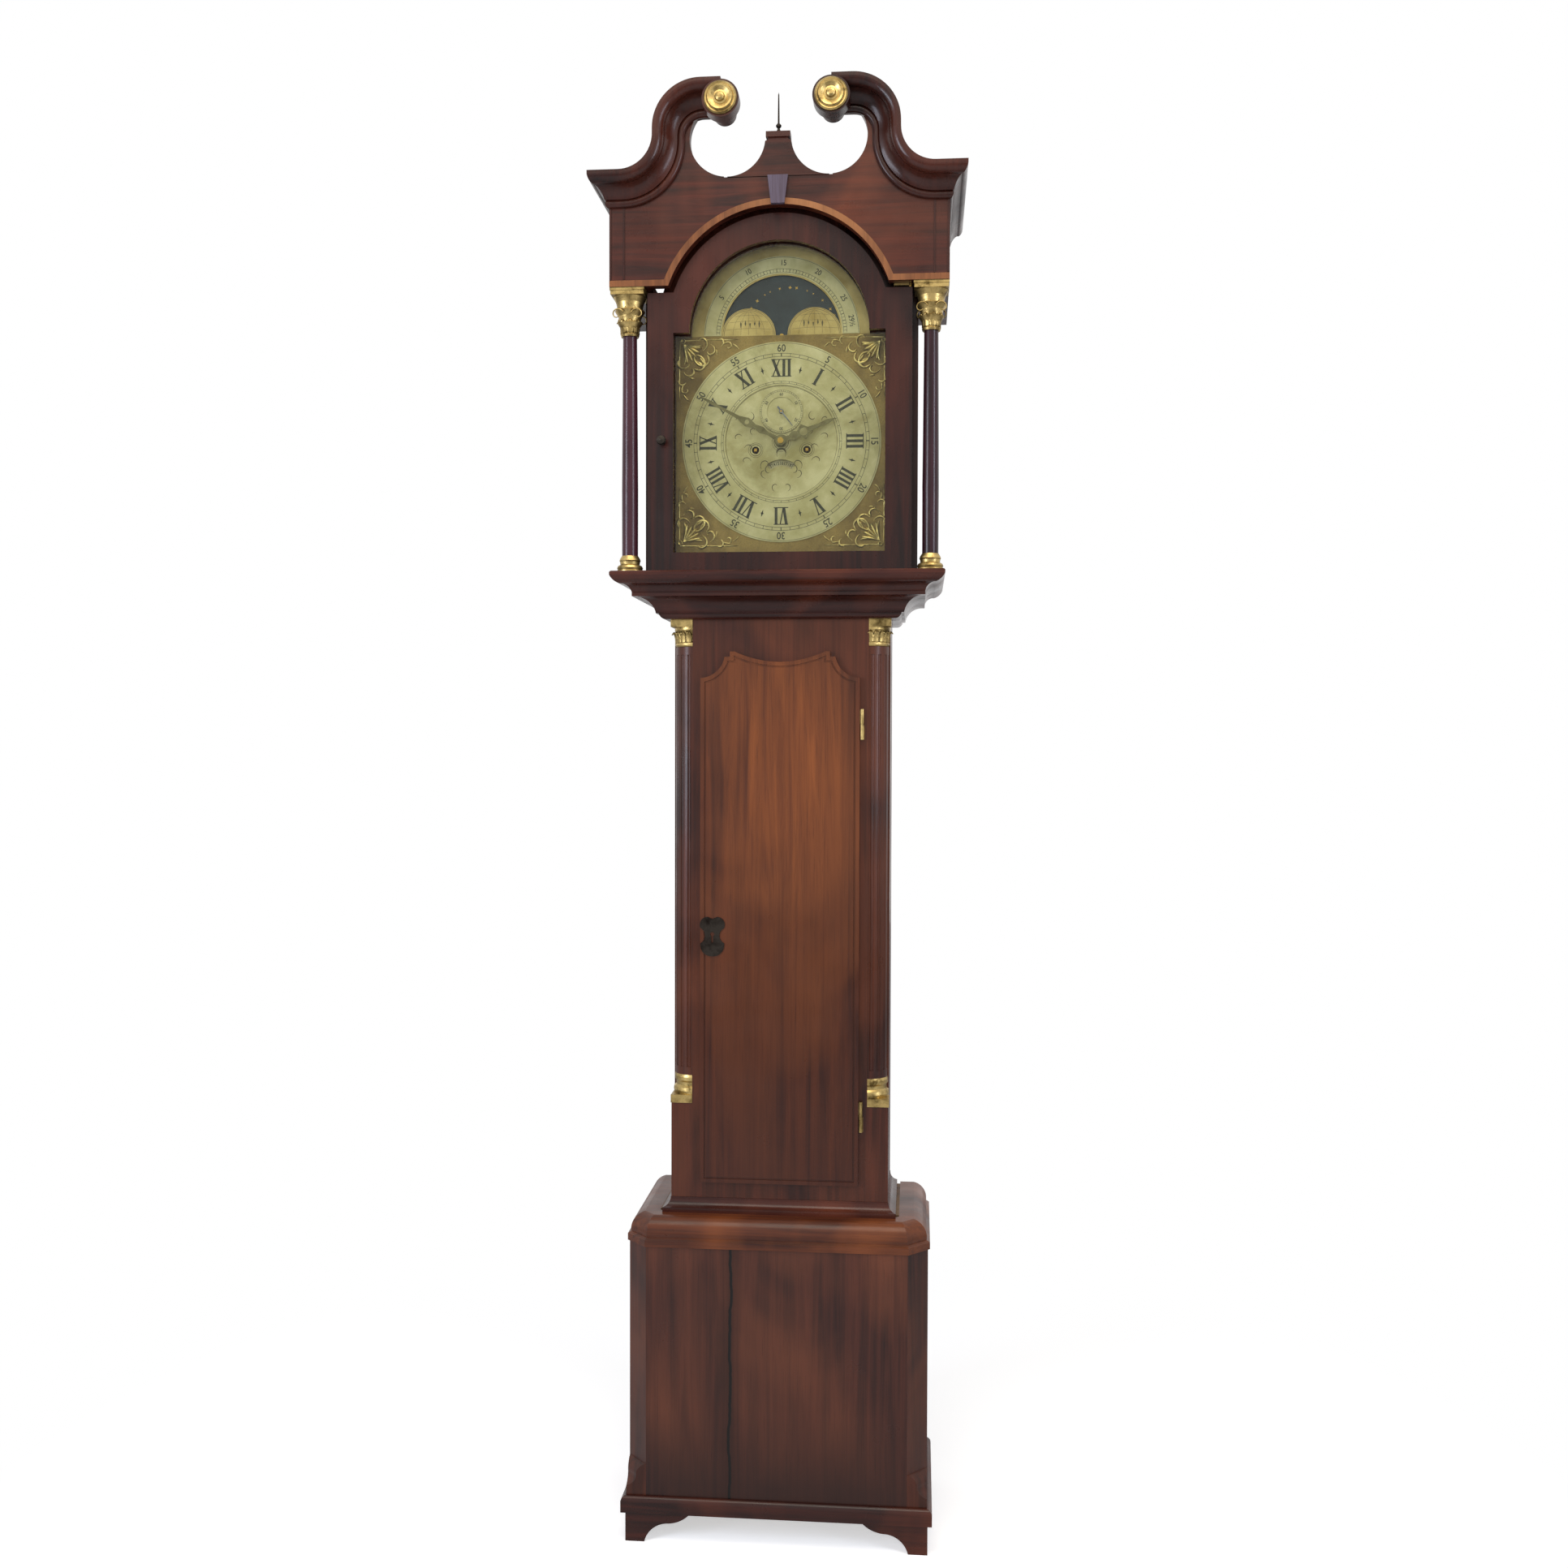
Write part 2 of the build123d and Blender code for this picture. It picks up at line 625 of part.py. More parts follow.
def make_hood_body():
    back = trunk_depth
    front = -frieze_step
    side = block(frieze_half - frieze_thick, frieze_half, front + frieze_thick, back, frieze_low,
                 cornice_top - 1)
    add("hood_carcass", both(side))
    top_z = cornice_top - 12
    inner = frieze_half - frieze_thick
    add("hood_carcass", block(-inner, inner, front + frieze_thick, back, top_z, top_z + 10))

    wall = block(wall_half - wall_thick, wall_half, 0, back, hood_base_high, frieze_low)
    add("hood_carcass", both(wall))
    soffit = block(wall_half - wall_thick, inner, front + frieze_thick, back, frieze_low, frieze_low + 10)
    add("hood_carcass", both(soffit))

    low, high = throat_high + seat_gap, hood_base_high
    r0 = throat_reach
    full = hood_base_half - trunk_half
    section = outline(
        Line((26, low), (r0, low)),
        ThreePointArc((r0, low), (r0 + 4, low + 8), (r0 + 12, low + 12)),
        Line((r0 + 12, low + 12), (r0 + 15, low + 12)),
        ThreePointArc((r0 + 15, low + 12), (r0 + 24, low + 17), (full, high - 6)),
        Line((full, high - 6), (full, high - 2)),
        Line((full, high - 2), (full - 2, high)),
        Line((full - 2, high), (26, high)),
        Line((26, high), (26, low)),
    )
    add("hood_base_moulding", moulding_run(section, ushape(trunk_half, 0, back)))

    stile_half = hood_door_half + 1
    outer = Pos(0, (hood_base_high + frieze_low) / 2) * Rectangle(2 * stile_half,
                                                                  frieze_low - hood_base_high)
    outer += Pos(0, arch_centre) * Circle(arch_radius + mask_lap)
    hole = sight_face(0)
    mask = plate(outer - hole, -mask_front, -mask_front + mask_thick)
    for sign in (-1, 1):
        mask += block(sign * (wall_half - wall_thick), sign * stile_half, -mask_front + mask_thick, 0,
                      hood_base_high, frieze_low)
    add("dial_mask", mask)

    ring = Circle(arch_radius + band_width) - Circle(arch_radius)
    zone = loop([(-arch_radius - 40, frieze_low), (arch_radius + 40, frieze_low),
                 (arch_radius + 40, 2100), (-arch_radius - 40, 2100)])
    band = (Pos(0, arch_centre) * ring) & zone
    spring = math.sqrt(arch_radius ** 2 - (frieze_low - arch_centre) ** 2)
    for sign in (-1, 1):
        strip = loop([(sign * (spring + 4), frieze_low), (sign * frieze_half, frieze_low),
                      (sign * frieze_half, frieze_low + band_width),
                      (sign * (spring + 4), frieze_low + band_width)])
        band = band + strip
    band = band - Pos(0, arch_centre) * Circle(arch_radius)
    add("arch_banding", plate(band, front - 0.8, front))
    key = loop([(-15, 2040), (15, 2040), (10, 1999), (-10, 1999)])
    key = plate(key, front - 8, front - 0.8)
    add("keystone", key)


def sight_face(grow):
    """The arched opening seen through the hood door, made larger by grow."""
    half, radius = sight_half + grow, sight_radius + grow
    rect = Pos(0, (sight_low - grow + sight_shoulder + grow) / 2) * Rectangle(
        2 * half, sight_shoulder - sight_low + 2 * grow)
    return rect + Pos(0, sight_shoulder) * Circle(radius)


def make_hood_columns():
    x, y = column_x, at(-column_back)
    low = hood_base_high
    base = [(0, low), (20, low), (20, low + 5), (18.5, low + 6), (19.5, low + 9), (18, low + 12),
            (14.5, low + 14), (15, low + 18), (16, low + 20), (15, low + 23), (12.5, column_base_high),
            (0, column_base_high)]
    add("hood_brasses", both(turned(base, x, y)))
    shaft = [(0, column_base_high), (column_radius_low, column_base_high),
             (column_radius_low + 0.2, column_base_high + 100), (column_radius_high, column_cap_low),
             (0, column_cap_low)]
    add("hood_column_shafts", both(turned(shaft, x, y)))
    low, high = column_cap_low, frieze_low
    r = column_radius_high
    bell = [(0, low), (r + 2.5, low), (r + 3.5, low + 3), (r + 1.5, low + 6), (r + 3, low + 12),
            (r + 8, low + 20), (r + 5, low + 22), (r + 7, low + 30), (r + 12, low + 38),
            (r + 8, low + 40), (r + 10, low + 50), (r + 14, low + 58), (0, low + 58)]
    cap = turned(bell, x, y)
    cap += Pos(x, y, low + 61) * Box(2 * abacus_half - 2, 2 * abacus_half - 2, 6)
    cap += Pos(x, y, low + 66) * Box(2 * abacus_half, 2 * abacus_half, 4)
    add("hood_brasses", both(cap))


pivot_x = hood_door_half - 3.0
pivot_depth = -hood_door_front + 3.0
pivot_radius = 1.5
pivot_length = 12.0


def make_hood_door():
    rect = Pos(0, (hood_door_low + hood_door_shoulder) / 2) * Rectangle(
        2 * hood_door_half, hood_door_shoulder - hood_door_low)
    face = rect + Pos(0, arch_centre) * Circle(hood_door_radius)
    rebate = plate(sight_face(glass_lap), -hood_door_front + 9, -hood_door_front + hood_door_thick + 1)
    frame = plate(face - sight_face(0), -hood_door_front, -hood_door_front + hood_door_thick) - rebate
    socket = Pos(pivot_x, at(pivot_depth)) * Cylinder(pivot_radius + running, 2 * pivot_length + 2)
    frame = frame - Pos(0, 0, hood_door_low) * socket - Pos(0, 0, hood_door_shoulder) * socket
    add("hood_door_frame", frame)
    glass = plate(sight_face(glass_lap - 0.5), -hood_door_front + 9, -hood_door_front + 9 + glass_thick)
    add("hood_door_glass", glass)
    knob = [(0, 0), (5, 0), (5, 2), (2.5, 3), (2.5, 8), (6, 10), (7, 13), (6, 16), (0, 17.5)]
    turn = revolve(Plane.XZ * loop(knob), Axis.Z, 360)
    add("hood_door_knob", Pos(-174, at(-hood_door_front), 1659) * Rot(90, 0, 0) * turn)

    bottom, top = hood_door_low, hood_door_shoulder
    y = at(pivot_depth)
    pins = [Pos(pivot_x, y, (hood_base_high + bottom + pivot_length) / 2)
            * Cylinder(pivot_radius, bottom + pivot_length - hood_base_high),
            Pos(pivot_x, y, (frieze_low + top - pivot_length) / 2)
            * Cylinder(pivot_radius, frieze_low - top + pivot_length)]
    plates = block(pivot_x - 24, pivot_x + 2.5, pivot_depth - 2.5, pivot_depth + 8,
                   hood_base_high, bottom - 2)
    ears = block(pivot_x - 24, pivot_x + 2.5, pivot_depth + 1.5, pivot_depth + 12, top + 2, frieze_low)
    ears += Pos(pivot_x, y, (top + 2 + frieze_low) / 2) * Cylinder(2.5, frieze_low - top - 2)
    ears += block(pivot_x - 24, pivot_x - 2, -frieze_step + frieze_thick, pivot_depth + 2,
                  top + 2, frieze_low)
    add("hood_brasses", pins[0] + plates)
    add("hood_brasses", pins[1] + ears)


# Dial
def make_dial():
    low = dial_z - dial_half
    rect = Pos(0, (low + dial_arch_z) / 2) * Rectangle(2 * dial_half, dial_arch_z - low)
    face = rect + Pos(0, dial_arch_z) * Circle(dial_arch_radius)
    opening = Pos(0, dial_arch_z) * Circle(moon_opening) & Pos(0, dial_arch_z + 60) * Rectangle(400, 120)
    for sign in (-1, 1):
        opening -= Pos(sign * hump_x, dial_arch_z) * Circle(hump_radius)
    face -= opening
    face -= Pos(0, dial_z) * Circle(8)
    face -= Pos(0, dial_z + seconds_rise) * Circle(3.5)
    for sign in (-1, 1):
        face -= Pos(sign * wind_x, dial_z - wind_drop) * Circle(5.5)
    mouth = Circle(date_radius - 2) - Circle(date_radius - 12)
    wedge = loop([(0, 0), (-40, 52), (40, 52)])
    face -= Pos(0, dial_z - date_drop) * (mouth & wedge)
    add("dial_plate", plate(face, dial_back, dial_back + dial_thick))

    ring_front = dial_back - ring_thick
    chapter = Circle(chapter_outer) - Circle(chapter_inner)
    add("dial_rings", plate(Pos(0, dial_z) * chapter, ring_front, dial_back))
    seconds = Circle(seconds_radius) - Circle(seconds_radius - 11)
    add("dial_rings", plate(Pos(0, dial_z + seconds_rise) * seconds, ring_front, dial_back))
    lunar = (Circle(lunar_outer) - Circle(moon_opening + 2)) & Pos(0, 100) * Rectangle(400, 199)
    add("dial_rings", plate(Pos(0, dial_arch_z) * lunar, ring_front, dial_back))

    inner = dial_half - 4
    corner = loop([(0, 0), (inner, 0), (inner, inner), (0, inner)]) - Circle(chapter_outer + 3)
    corner -= loop([(0, 0), (inner + 1, 0), (inner + 1, 62), (62, inner + 1), (0, inner + 1)])
    corner -= Pos(inner - 16, inner - 52) * Circle(5.5)
    corner -= Pos(inner - 52, inner - 16) * Circle(5.5)
    pieces = []
    for turn in range(4):
        casting = plate(Pos(0, dial_z) * Rot(0, 0, 90 * turn) * corner, dial_back - 2.5, dial_back)
        pieces.append(casting)
    add("spandrels", Compound(children=pieces))

    feet = []
    for x in (-58, 58):
        for z in (1612, 1722):
            feet.append(rod(x, z, 3, dial_back + dial_thick, plate_front))
    add("movement_pillars", Compound(children=feet))

    disc = plate(Pos(0, dial_arch_z) * (Circle(moon_disc_radius) - Circle(3 + running)), 12, 13.5)
    moons = []
    for sign in (-1, 1):
        moons.append(rod(sign * hump_x, dial_arch_z, 34, 11.5, 12))
    add("moon_disc", disc + moons[0] + moons[1])
    moon_stud = rod(0, dial_arch_z, 3, dial_back + dial_thick, 16)
    add("movement_pillars", moon_stud + rod(0, dial_arch_z, 5, 14.5, 16))
    date = plate(Pos(0, dial_z - date_drop) * (Circle(date_radius) - Circle(3 + running)), 12, 13.5)
    add("date_disc", date)
    add("movement_pillars", rod(0, dial_z - date_drop, 3, dial_back + dial_thick, 16)
         + rod(0, dial_z - date_drop, 5, 14.5, 16))


# Movement
def wheel(teeth, pitch, spokes=0, hub=5.0, phase=0.0, width=0.36, rise=0.85):
    """A toothed wheel: straight-flanked teeth, narrower than half the pitch so that they run free."""
    module = 2 * pitch / teeth
    tip, root = pitch + rise * module, pitch - 1.15 * module
    step = 2 * math.pi / teeth
    points = []
    for i in range(teeth):
        a = phase + i * step
        for radius, share in ((root, -0.62), (tip, -0.28), (tip, 0.28), (root, 0.62)):
            angle = a + share * width * step * 1.4
            points.append((radius * math.cos(angle), radius * math.sin(angle)))
    face = loop(points)
    if spokes:
        gap = Circle(root - 2.5) - Circle(hub)
        for i in range(spokes):
            arm = Rot(0, 0, i * 360 / spokes) * (Pos(root / 2, 0) * Rectangle(root, 3.2))
            gap -= arm
        face -= gap
    return face


centre_z = dial_z
escape_z = dial_z + seconds_rise
third_z = dial_z + seconds_rise / 2
great_z = dial_z - wind_drop


def geared(distance, driver, follower):
    """Pitch radii of two meshing wheels."""
    return distance * driver / (driver + follower), distance * follower / (driver + follower)


def mesh_phase(x0, z0, x1, z1, teeth, driven, driver_phase):
    """Phase of the driven wheel that puts its gap on the line of centres where the driver has a tooth."""
    line = math.atan2(z1 - z0, x1 - x0)
    into = (line - driver_phase) / (2 * math.pi / teeth)
    share = into - math.floor(into)
    return line + math.pi + (0.5 + share) * 2 * math.pi / driven


def make_movement():
    back_plate = plate_front + plate_thick + plate_gap
    face = Pos(0, (plate_low + plate_high) / 2) * Rectangle(2 * plate_half, plate_high - plate_low)
    bores = [(0, centre_z, 2.0), (third_x, third_z, 1.6), (0, escape_z, 1.6), (0, pallet_z, 1.5),
             (wind_x, great_z, arbor_radius), (-wind_x, great_z, arbor_radius)]
    for x, z, r in bores:
        face -= Pos(x, z) * Circle(r + running)
    front = plate(face, plate_front, plate_front + plate_thick)
    rear = plate(face, back_plate, back_plate + plate_thick)
    add("movement_plates", front)
    add("movement_plates", rear)
    pillars = []
    for x, z in ((-55, plate_low + 12), (55, plate_low + 12), (-40, plate_high - 12),
                 (40, plate_high - 12)):
        bar = rod(x, z, 4, plate_front + plate_thick, back_plate)
        bar += rod(x, z, 7, plate_front + plate_thick, plate_front + plate_thick + 5)
        bar += rod(x, z, 7, back_plate - 5, back_plate)
        bar += rod(x, z, 6, 68, 74)
        pillars.append(bar)
    add("movement_pillars", Compound(children=pillars))

    seat = block(-trunk_half, trunk_half, 30, 108, cheek_top, cheek_top + seat_thick)
    for sign in (-1, 1):
        seat -= block(sign * 50, sign * 78, 58, 86, cheek_top - 1, cheek_top + seat_thick + 1)
    add("seat_board", seat)

    d_great = math.hypot(wind_x, wind_drop)
    great_r, _ = geared(d_great, great_teeth, pinion_leaves)
    d_third = math.hypot(third_x, seconds_rise / 2)
    centre_r, third_pinion_r = geared(d_third, centre_teeth, pinion_leaves)
    third_r, escape_pinion_r = geared(d_third, third_teeth, escape_leaves)
    centre_pinion_r = d_great - great_r

    def gear_solid(face, x, z, y0, y1):
        return plate(Pos(x, z) * face, y0, y1)

    # going train
    great = wheel(great_teeth, great_r, 4, 9)
    great -= Circle(arbor_radius + running)
    add("going_great_wheel", gear_solid(great, wind_x, great_z, 88, 91))
    strike = wheel(great_teeth - 12, great_r * (great_teeth - 12) / great_teeth, 4, 9)
    strike -= Circle(arbor_radius + running)
    add("strike_barrel", gear_solid(strike, -wind_x, great_z, 88, 91))

    def barrel(sign):
        x = sign * wind_x
        drum = rod(x, great_z, barrel_radius, barrel_start, barrel_end)
        drum += rod(x, great_z, barrel_radius + 3.5, barrel_start - 1.5, barrel_start)
        drum += rod(x, great_z, barrel_radius + 3.5, barrel_end, barrel_end + 1.5)
        drum += rod(x, great_z, arbor_radius, 24, back_plate + plate_thick + 1)
        square = Pos(x, at(15), great_z) * Box(4.2, 18, 4.2)
        return drum + square

    add("going_barrel", barrel(1))
    add("strike_barrel", barrel(-1))

    phase = mesh_phase(wind_x, great_z, 0, centre_z, great_teeth, pinion_leaves, 0.0)
    pinion = gear_solid(wheel(pinion_leaves, centre_pinion_r, 0, 0, phase, 0.3, 0.8), 0, centre_z, 86.5, 95)
    c_wheel = gear_solid(wheel(centre_teeth, centre_r, 4, 6), 0, centre_z, 48, 48 + wheel_thick)
    arbor = rod(0, centre_z, 2.0, -8, back_plate + plate_thick)
    add("centre_wheel", arbor + c_wheel + pinion)

    phase = mesh_phase(0, centre_z, third_x, third_z, centre_teeth, pinion_leaves, 0.0)
    leaves = wheel(pinion_leaves, third_pinion_r, 0, 0, phase, 0.3, 0.8)
    pinion = gear_solid(leaves, third_x, third_z, 46, 54)
    t_wheel = gear_solid(wheel(third_teeth, third_r, 4, 6), third_x, third_z, 43, 43 + wheel_thick)
    arbor = rod(third_x, third_z, 1.6, plate_front, back_plate + plate_thick)
    add("third_wheel", arbor + t_wheel + pinion)

    phase = mesh_phase(third_x, third_z, 0, escape_z, third_teeth, escape_leaves, 0.0)
    pinion = gear_solid(wheel(escape_leaves, escape_pinion_r, 0, 0, phase, 0.3, 0.8), 0, escape_z, 42, 47)
    saw = []
    for i in range(escape_teeth):
        a = 2 * math.pi * i / escape_teeth
        b = a + 2 * math.pi / escape_teeth * 0.72
        saw += [(20 * math.cos(a), 20 * math.sin(a)), (16.5 * math.cos(a - 0.02), 16.5 * math.sin(a - 0.02))]
        saw += [(16.5 * math.cos(b - 0.1), 16.5 * math.sin(b - 0.1))]
    e_face = loop(saw[::1]) - (Circle(14) - Circle(4) - Rectangle(30, 2.5) - Rectangle(2.5, 30))
    e_wheel = gear_solid(e_face, 0, escape_z, 92, 93.6)
    arbor = rod(0, escape_z, 1.6, 3.5, back_plate + plate_thick)
    add("escape_wheel", arbor + e_wheel + pinion)

    # motion work behind the dial
    cannon_r, minute_r = geared(motion_drop, motion_teeth, motion_teeth)
    hour_r, leaf_r = geared(motion_drop, hour_teeth, minute_leaves)
    low_z = centre_z - motion_drop
    cannon = wheel(motion_teeth, cannon_r, 0) - Circle(2.0 + running)
    cannon = gear_solid(cannon, 0, centre_z, 33, 35) + (rod(0, centre_z, 3.4, -6.5, 33)
                                                       - rod(0, centre_z, 2.0 + running, -7, 34))
    add("cannon_pinion", cannon)
    phase = mesh_phase(0, centre_z, 0, low_z, motion_teeth, motion_teeth, 0.0)
    idler = gear_solid(wheel(motion_teeth, minute_r, 0, 0, phase), 0, low_z, 33, 35)
    leaf_phase = math.pi / 2
    idler += gear_solid(wheel(minute_leaves, leaf_r, 0, 0, leaf_phase, 0.3, 0.8), 0, low_z, 26, 33)
    idler -= rod(0, low_z, 1.5 + running, 20, 38)
    add("minute_wheel", idler)
    add("movement_pillars", rod(0, low_z, 1.5, 25, plate_front))
    hour_phase = -math.pi / 2 + math.pi / hour_teeth
    hour = gear_solid(wheel(hour_teeth, hour_r, 0, 0, hour_phase), 0, centre_z, 28, 30)
    hour += rod(0, centre_z, 5.5, -1.5, 28)
    hour -= rod(0, centre_z, 3.4 + running, -2, 36)
    add("hour_wheel", hour)
    return back_plate


def make_hands():
    def hand(length, swell, tail, width):
        """A pierced, gently waved hand drawn pointing up from its boss."""
        right = [
            (width * 1.1, 5), (width * 0.75, length * 0.16), (width * 1.7, length * 0.24),
            (width * 1.0, length * 0.32), (swell, length * 0.42), (width * 0.9, length * 0.52),
            (width * 0.55, length * 0.72), (width * 0.8, length * 0.86), (0.7, length),
        ]
        left = [(-x, y) for x, y in reversed(right)]
        face = loop([*right, *left]) + Circle(tail)
        face -= Pos(0, length * 0.42) * Circle(swell * 0.5)
        return face

    minute = hand(139, 7.0, 7.5, 3.2) - Circle(3.4)
    turn = Rot(0, 0, 61)
    add("minute_hand", plate(Pos(0, dial_z) * turn * minute, -6.2, -5.0))
    hour = hand(88, 12.0, 9.5, 4.2) - Circle(5.5)
    add("hour_hand", plate(Pos(0, dial_z) * Rot(0, 0, -68) * hour, -1.4, -0.2))
    second = loop([(1.4, -9), (0.5, 28), (-0.5, 28), (-1.4, -9)]) + Circle(3.2)
    second -= Circle(1.6)
    add("seconds_hand", plate(Pos(0, dial_z + seconds_rise) * Rot(0, 0, -142) * second, 3.6, 4.4))
    add("cannon_pinion", rod(0, dial_z, 4.5, -7.7, -6.5) - rod(0, dial_z, 2.0 + running, -8, -6))


def make_pendulum(back_plate):
    y = pendulum_y
    cock_y = back_plate + plate_thick
    cock = block(-14, 14, cock_y, y + 4, 1755, 1762) + block(-8, 8, 112, 115, 1738, 1755)
    cock -= rod(0, pallet_z, 3.0 + running, 111, 116)
    add("movement_cocks", cock)
    bob_z = pallet_z - pendulum_length
    trunnion = rod(0, pallet_z, 3.0, 111.2, y + 1.5)
    strip = block(-4, 4, y - 0.4, y + 0.4, 1708, pallet_z)
    head = block(-5, 5, y - 3, y + 3, 1700, 1710)
    add("pendulum_rod", trunnion + strip + head)
    rod_bar = Pos(0, at(y), (1700 + bob_z - 72) / 2) * Cylinder(rod_radius, 1700 - bob_z + 72)
    add("pendulum_rod", rod_bar)
    half = bob_thick / 2
    lens = [(0, -half), (bob_radius * 0.55, -half * 0.82), (bob_radius * 0.9, -half * 0.35),
            (bob_radius, -1), (bob_radius, 1), (bob_radius * 0.9, half * 0.35),
            (bob_radius * 0.55, half * 0.82), (0, half)]
    bob = Pos(0, at(y), bob_z) * Rot(90, 0, 0) * revolve(Plane.XZ * loop(lens), Axis.Z, 360)
    bob -= Pos(0, at(y), bob_z) * Cylinder(rod_radius, 120)
    add("pendulum_bob", bob)
    nut = Pos(0, at(y), bob_z - bob_radius - 5) * (Cylinder(8, 8) - Cylinder(rod_radius, 8))
    add("pendulum_rod", nut)

    arbor = rod(0, pallet_z, 1.5, plate_front, 110)
    anchor = outline(
        ThreePointArc((-19, 1726), (-12, 1744), (0, 1751)),
        ThreePointArc((0, 1751), (12, 1744), (19, 1726)),
        Line((19, 1726), (16.5, 1725.5)),
        ThreePointArc((16.5, 1725.5), (9, 1738), (0, 1741)),
        ThreePointArc((0, 1741), (-9, 1738), (-16.5, 1725.5)),
        Line((-16.5, 1725.5), (-19, 1726)),
    )
    anchor = plate(anchor, 91, 95)
    crutch = block(-1.5, 1.5, 106, 108, 1640, pallet_z)
    fork = block(-7, 7, 106, y + 5, 1634, 1640) - block(-3.1, 3.1, y - 4, y + 6, 1630, 1645)
    add("pallets_and_crutch", arbor + anchor + crutch + fork)


def make_strike():
    x, y, low = 0.0, 72.0, 1779.0
    r = 46.0
    shell = [(r, low), (r + 2.5, low), (r - 1, low + 12), (r - 8, low + 24), (r - 20, low + 33),
             (4, low + 37), (0, low + 37), (0, low + 34.5), (3, low + 34.5), (r - 21, low + 30.5),
             (r - 10, low + 22), (r - 3.5, low + 11)]
    bell = turned(shell, x, at(y)) - Pos(x, at(y), low + 35) * Cylinder(2.5, 20)
    add("bell", bell)
    stand = Pos(x, at(y), (plate_high + low + 42) / 2) * Cylinder(2.5, low + 42 - plate_high)
    stand += block(-5, 5, plate_front, 75, plate_high, plate_high + 4)
    stand += Pos(x, at(y), low + 40) * Cylinder(5, 6)
    stand += Pos(x, at(y), low + 31) * Cylinder(5, 5)
    add("movement_cocks", stand)
    pivot_x, pivot_z = -52.0, 1705.0
    arm_front = plate_front + plate_thick + 0.2
    arm = rod(pivot_x, pivot_z, 1.6, arm_front, arm_front + plate_gap - 0.4)
    arm += Pos(pivot_x, at(y), (pivot_z + 1786) / 2) * Cylinder(1.5, 1786 - pivot_z)
    arm += Pos(pivot_x - 1, at(y), 1787) * Rot(0, 90, 0) * Cylinder(5, 9)
    add("hammer", arm)


def make_weights():
    for name, sign in (("going", 1), ("strike", -1)):
        x_out = sign * (wind_x + barrel_radius)
        x_in = x_out - sign * 2 * (pulley_radius + line_radius)
        x_mid = (x_out + x_in) / 2
        y = at(72)
        arc_r = pulley_radius + line_radius
        path = Wire([
            Line((x_out, y, great_z), (x_out, y, pulley_z)),
            ThreePointArc((x_out, y, pulley_z), (x_mid, y, pulley_z - arc_r), (x_in, y, pulley_z)),
            Line((x_in, y, pulley_z), (x_in, y, cheek_top)),
        ])
        start = Plane(origin=(x_out, y, great_z), z_dir=(0, 0, -1))
        line = sweep(start * Circle(line_radius), path=path)
        add(f"{name}_line", Pos(sign * (line_radius + 0.3), 0, 0) * line)

        cx = x_mid + sign * (line_radius + 0.3)
        groove = [(2.2, -4), (pulley_radius + 2.5, -4), (pulley_radius - 0.5, 0),
                  (pulley_radius + 2.5, 4), (2.2, 4)]
        sheave = Rot(90, 0, 0) * revolve(Plane.XZ * loop(groove), Axis.Z, 360)
        add(f"{name}_weight", Pos(cx, y, pulley_z) * sheave)
        cheeks = block(cx - 4, cx + 4, 72 - 6.5, 72 - 5, pulley_z - 32, pulley_z + 6)
        cheeks += block(cx - 4, cx + 4, 72 + 5, 72 + 6.5, pulley_z - 32, pulley_z + 6)
        cheeks += block(cx - 4, cx + 4, 72 - 6.5, 72 + 6.5, pulley_z - 35, pulley_z - 32)
        cheeks += rod(cx, pulley_z, 2.2 - running, 72 - 6.5, 72 + 6.5)
        cheeks += Pos(cx, y, pulley_z - 45) * Cylinder(2, 22)
        add(f"{name}_weight", cheeks)
        top = pulley_z - 56
        body = turned([(0, top), (6, top), (10, top - 4), (weight_radius - 3, top - 7),
                       (weight_radius, top - 11), (weight_radius, top - weight_height + 4),
                       (weight_radius - 3, top - weight_height), (0, top - weight_height)], cx, y)
        add(f"{name}_weight", body)


make_base()
make_trunk()
make_quarter_columns()
make_trunk_door()
make_cornice()
make_hood_body()
make_hood_columns()
make_hood_door()
make_dial()
rear_plate = make_movement()
make_hands()
make_pendulum(rear_plate)
make_strike()
make_weights()

for node, shapes in nodes.items():
    whole = shapes[0] if len(shapes) == 1 else Compound(children=shapes)
    whole.label = node
    export_step(whole, f"parts/{node}.step")
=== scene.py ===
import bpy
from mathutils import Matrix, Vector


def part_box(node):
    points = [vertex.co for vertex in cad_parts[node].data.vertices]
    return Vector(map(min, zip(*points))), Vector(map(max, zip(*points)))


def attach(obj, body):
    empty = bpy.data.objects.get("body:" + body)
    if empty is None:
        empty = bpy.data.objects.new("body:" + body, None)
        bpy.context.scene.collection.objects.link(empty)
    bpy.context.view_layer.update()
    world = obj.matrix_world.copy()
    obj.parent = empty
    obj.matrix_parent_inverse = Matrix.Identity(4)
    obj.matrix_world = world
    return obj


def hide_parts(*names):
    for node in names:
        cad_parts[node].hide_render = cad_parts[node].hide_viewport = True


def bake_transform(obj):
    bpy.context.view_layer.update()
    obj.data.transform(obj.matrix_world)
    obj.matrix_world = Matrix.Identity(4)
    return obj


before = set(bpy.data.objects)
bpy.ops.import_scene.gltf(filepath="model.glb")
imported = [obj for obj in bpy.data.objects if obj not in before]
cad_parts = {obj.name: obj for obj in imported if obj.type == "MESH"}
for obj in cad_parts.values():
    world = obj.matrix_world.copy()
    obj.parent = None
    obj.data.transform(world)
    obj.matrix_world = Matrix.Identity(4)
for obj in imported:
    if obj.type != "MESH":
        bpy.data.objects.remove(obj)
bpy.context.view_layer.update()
import math

import bmesh
import bpy
from mathutils import Matrix, Vector

MM = 0.001
TRUNK_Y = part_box("trunk_front_frame")[0][1]      # the trunk's front plane


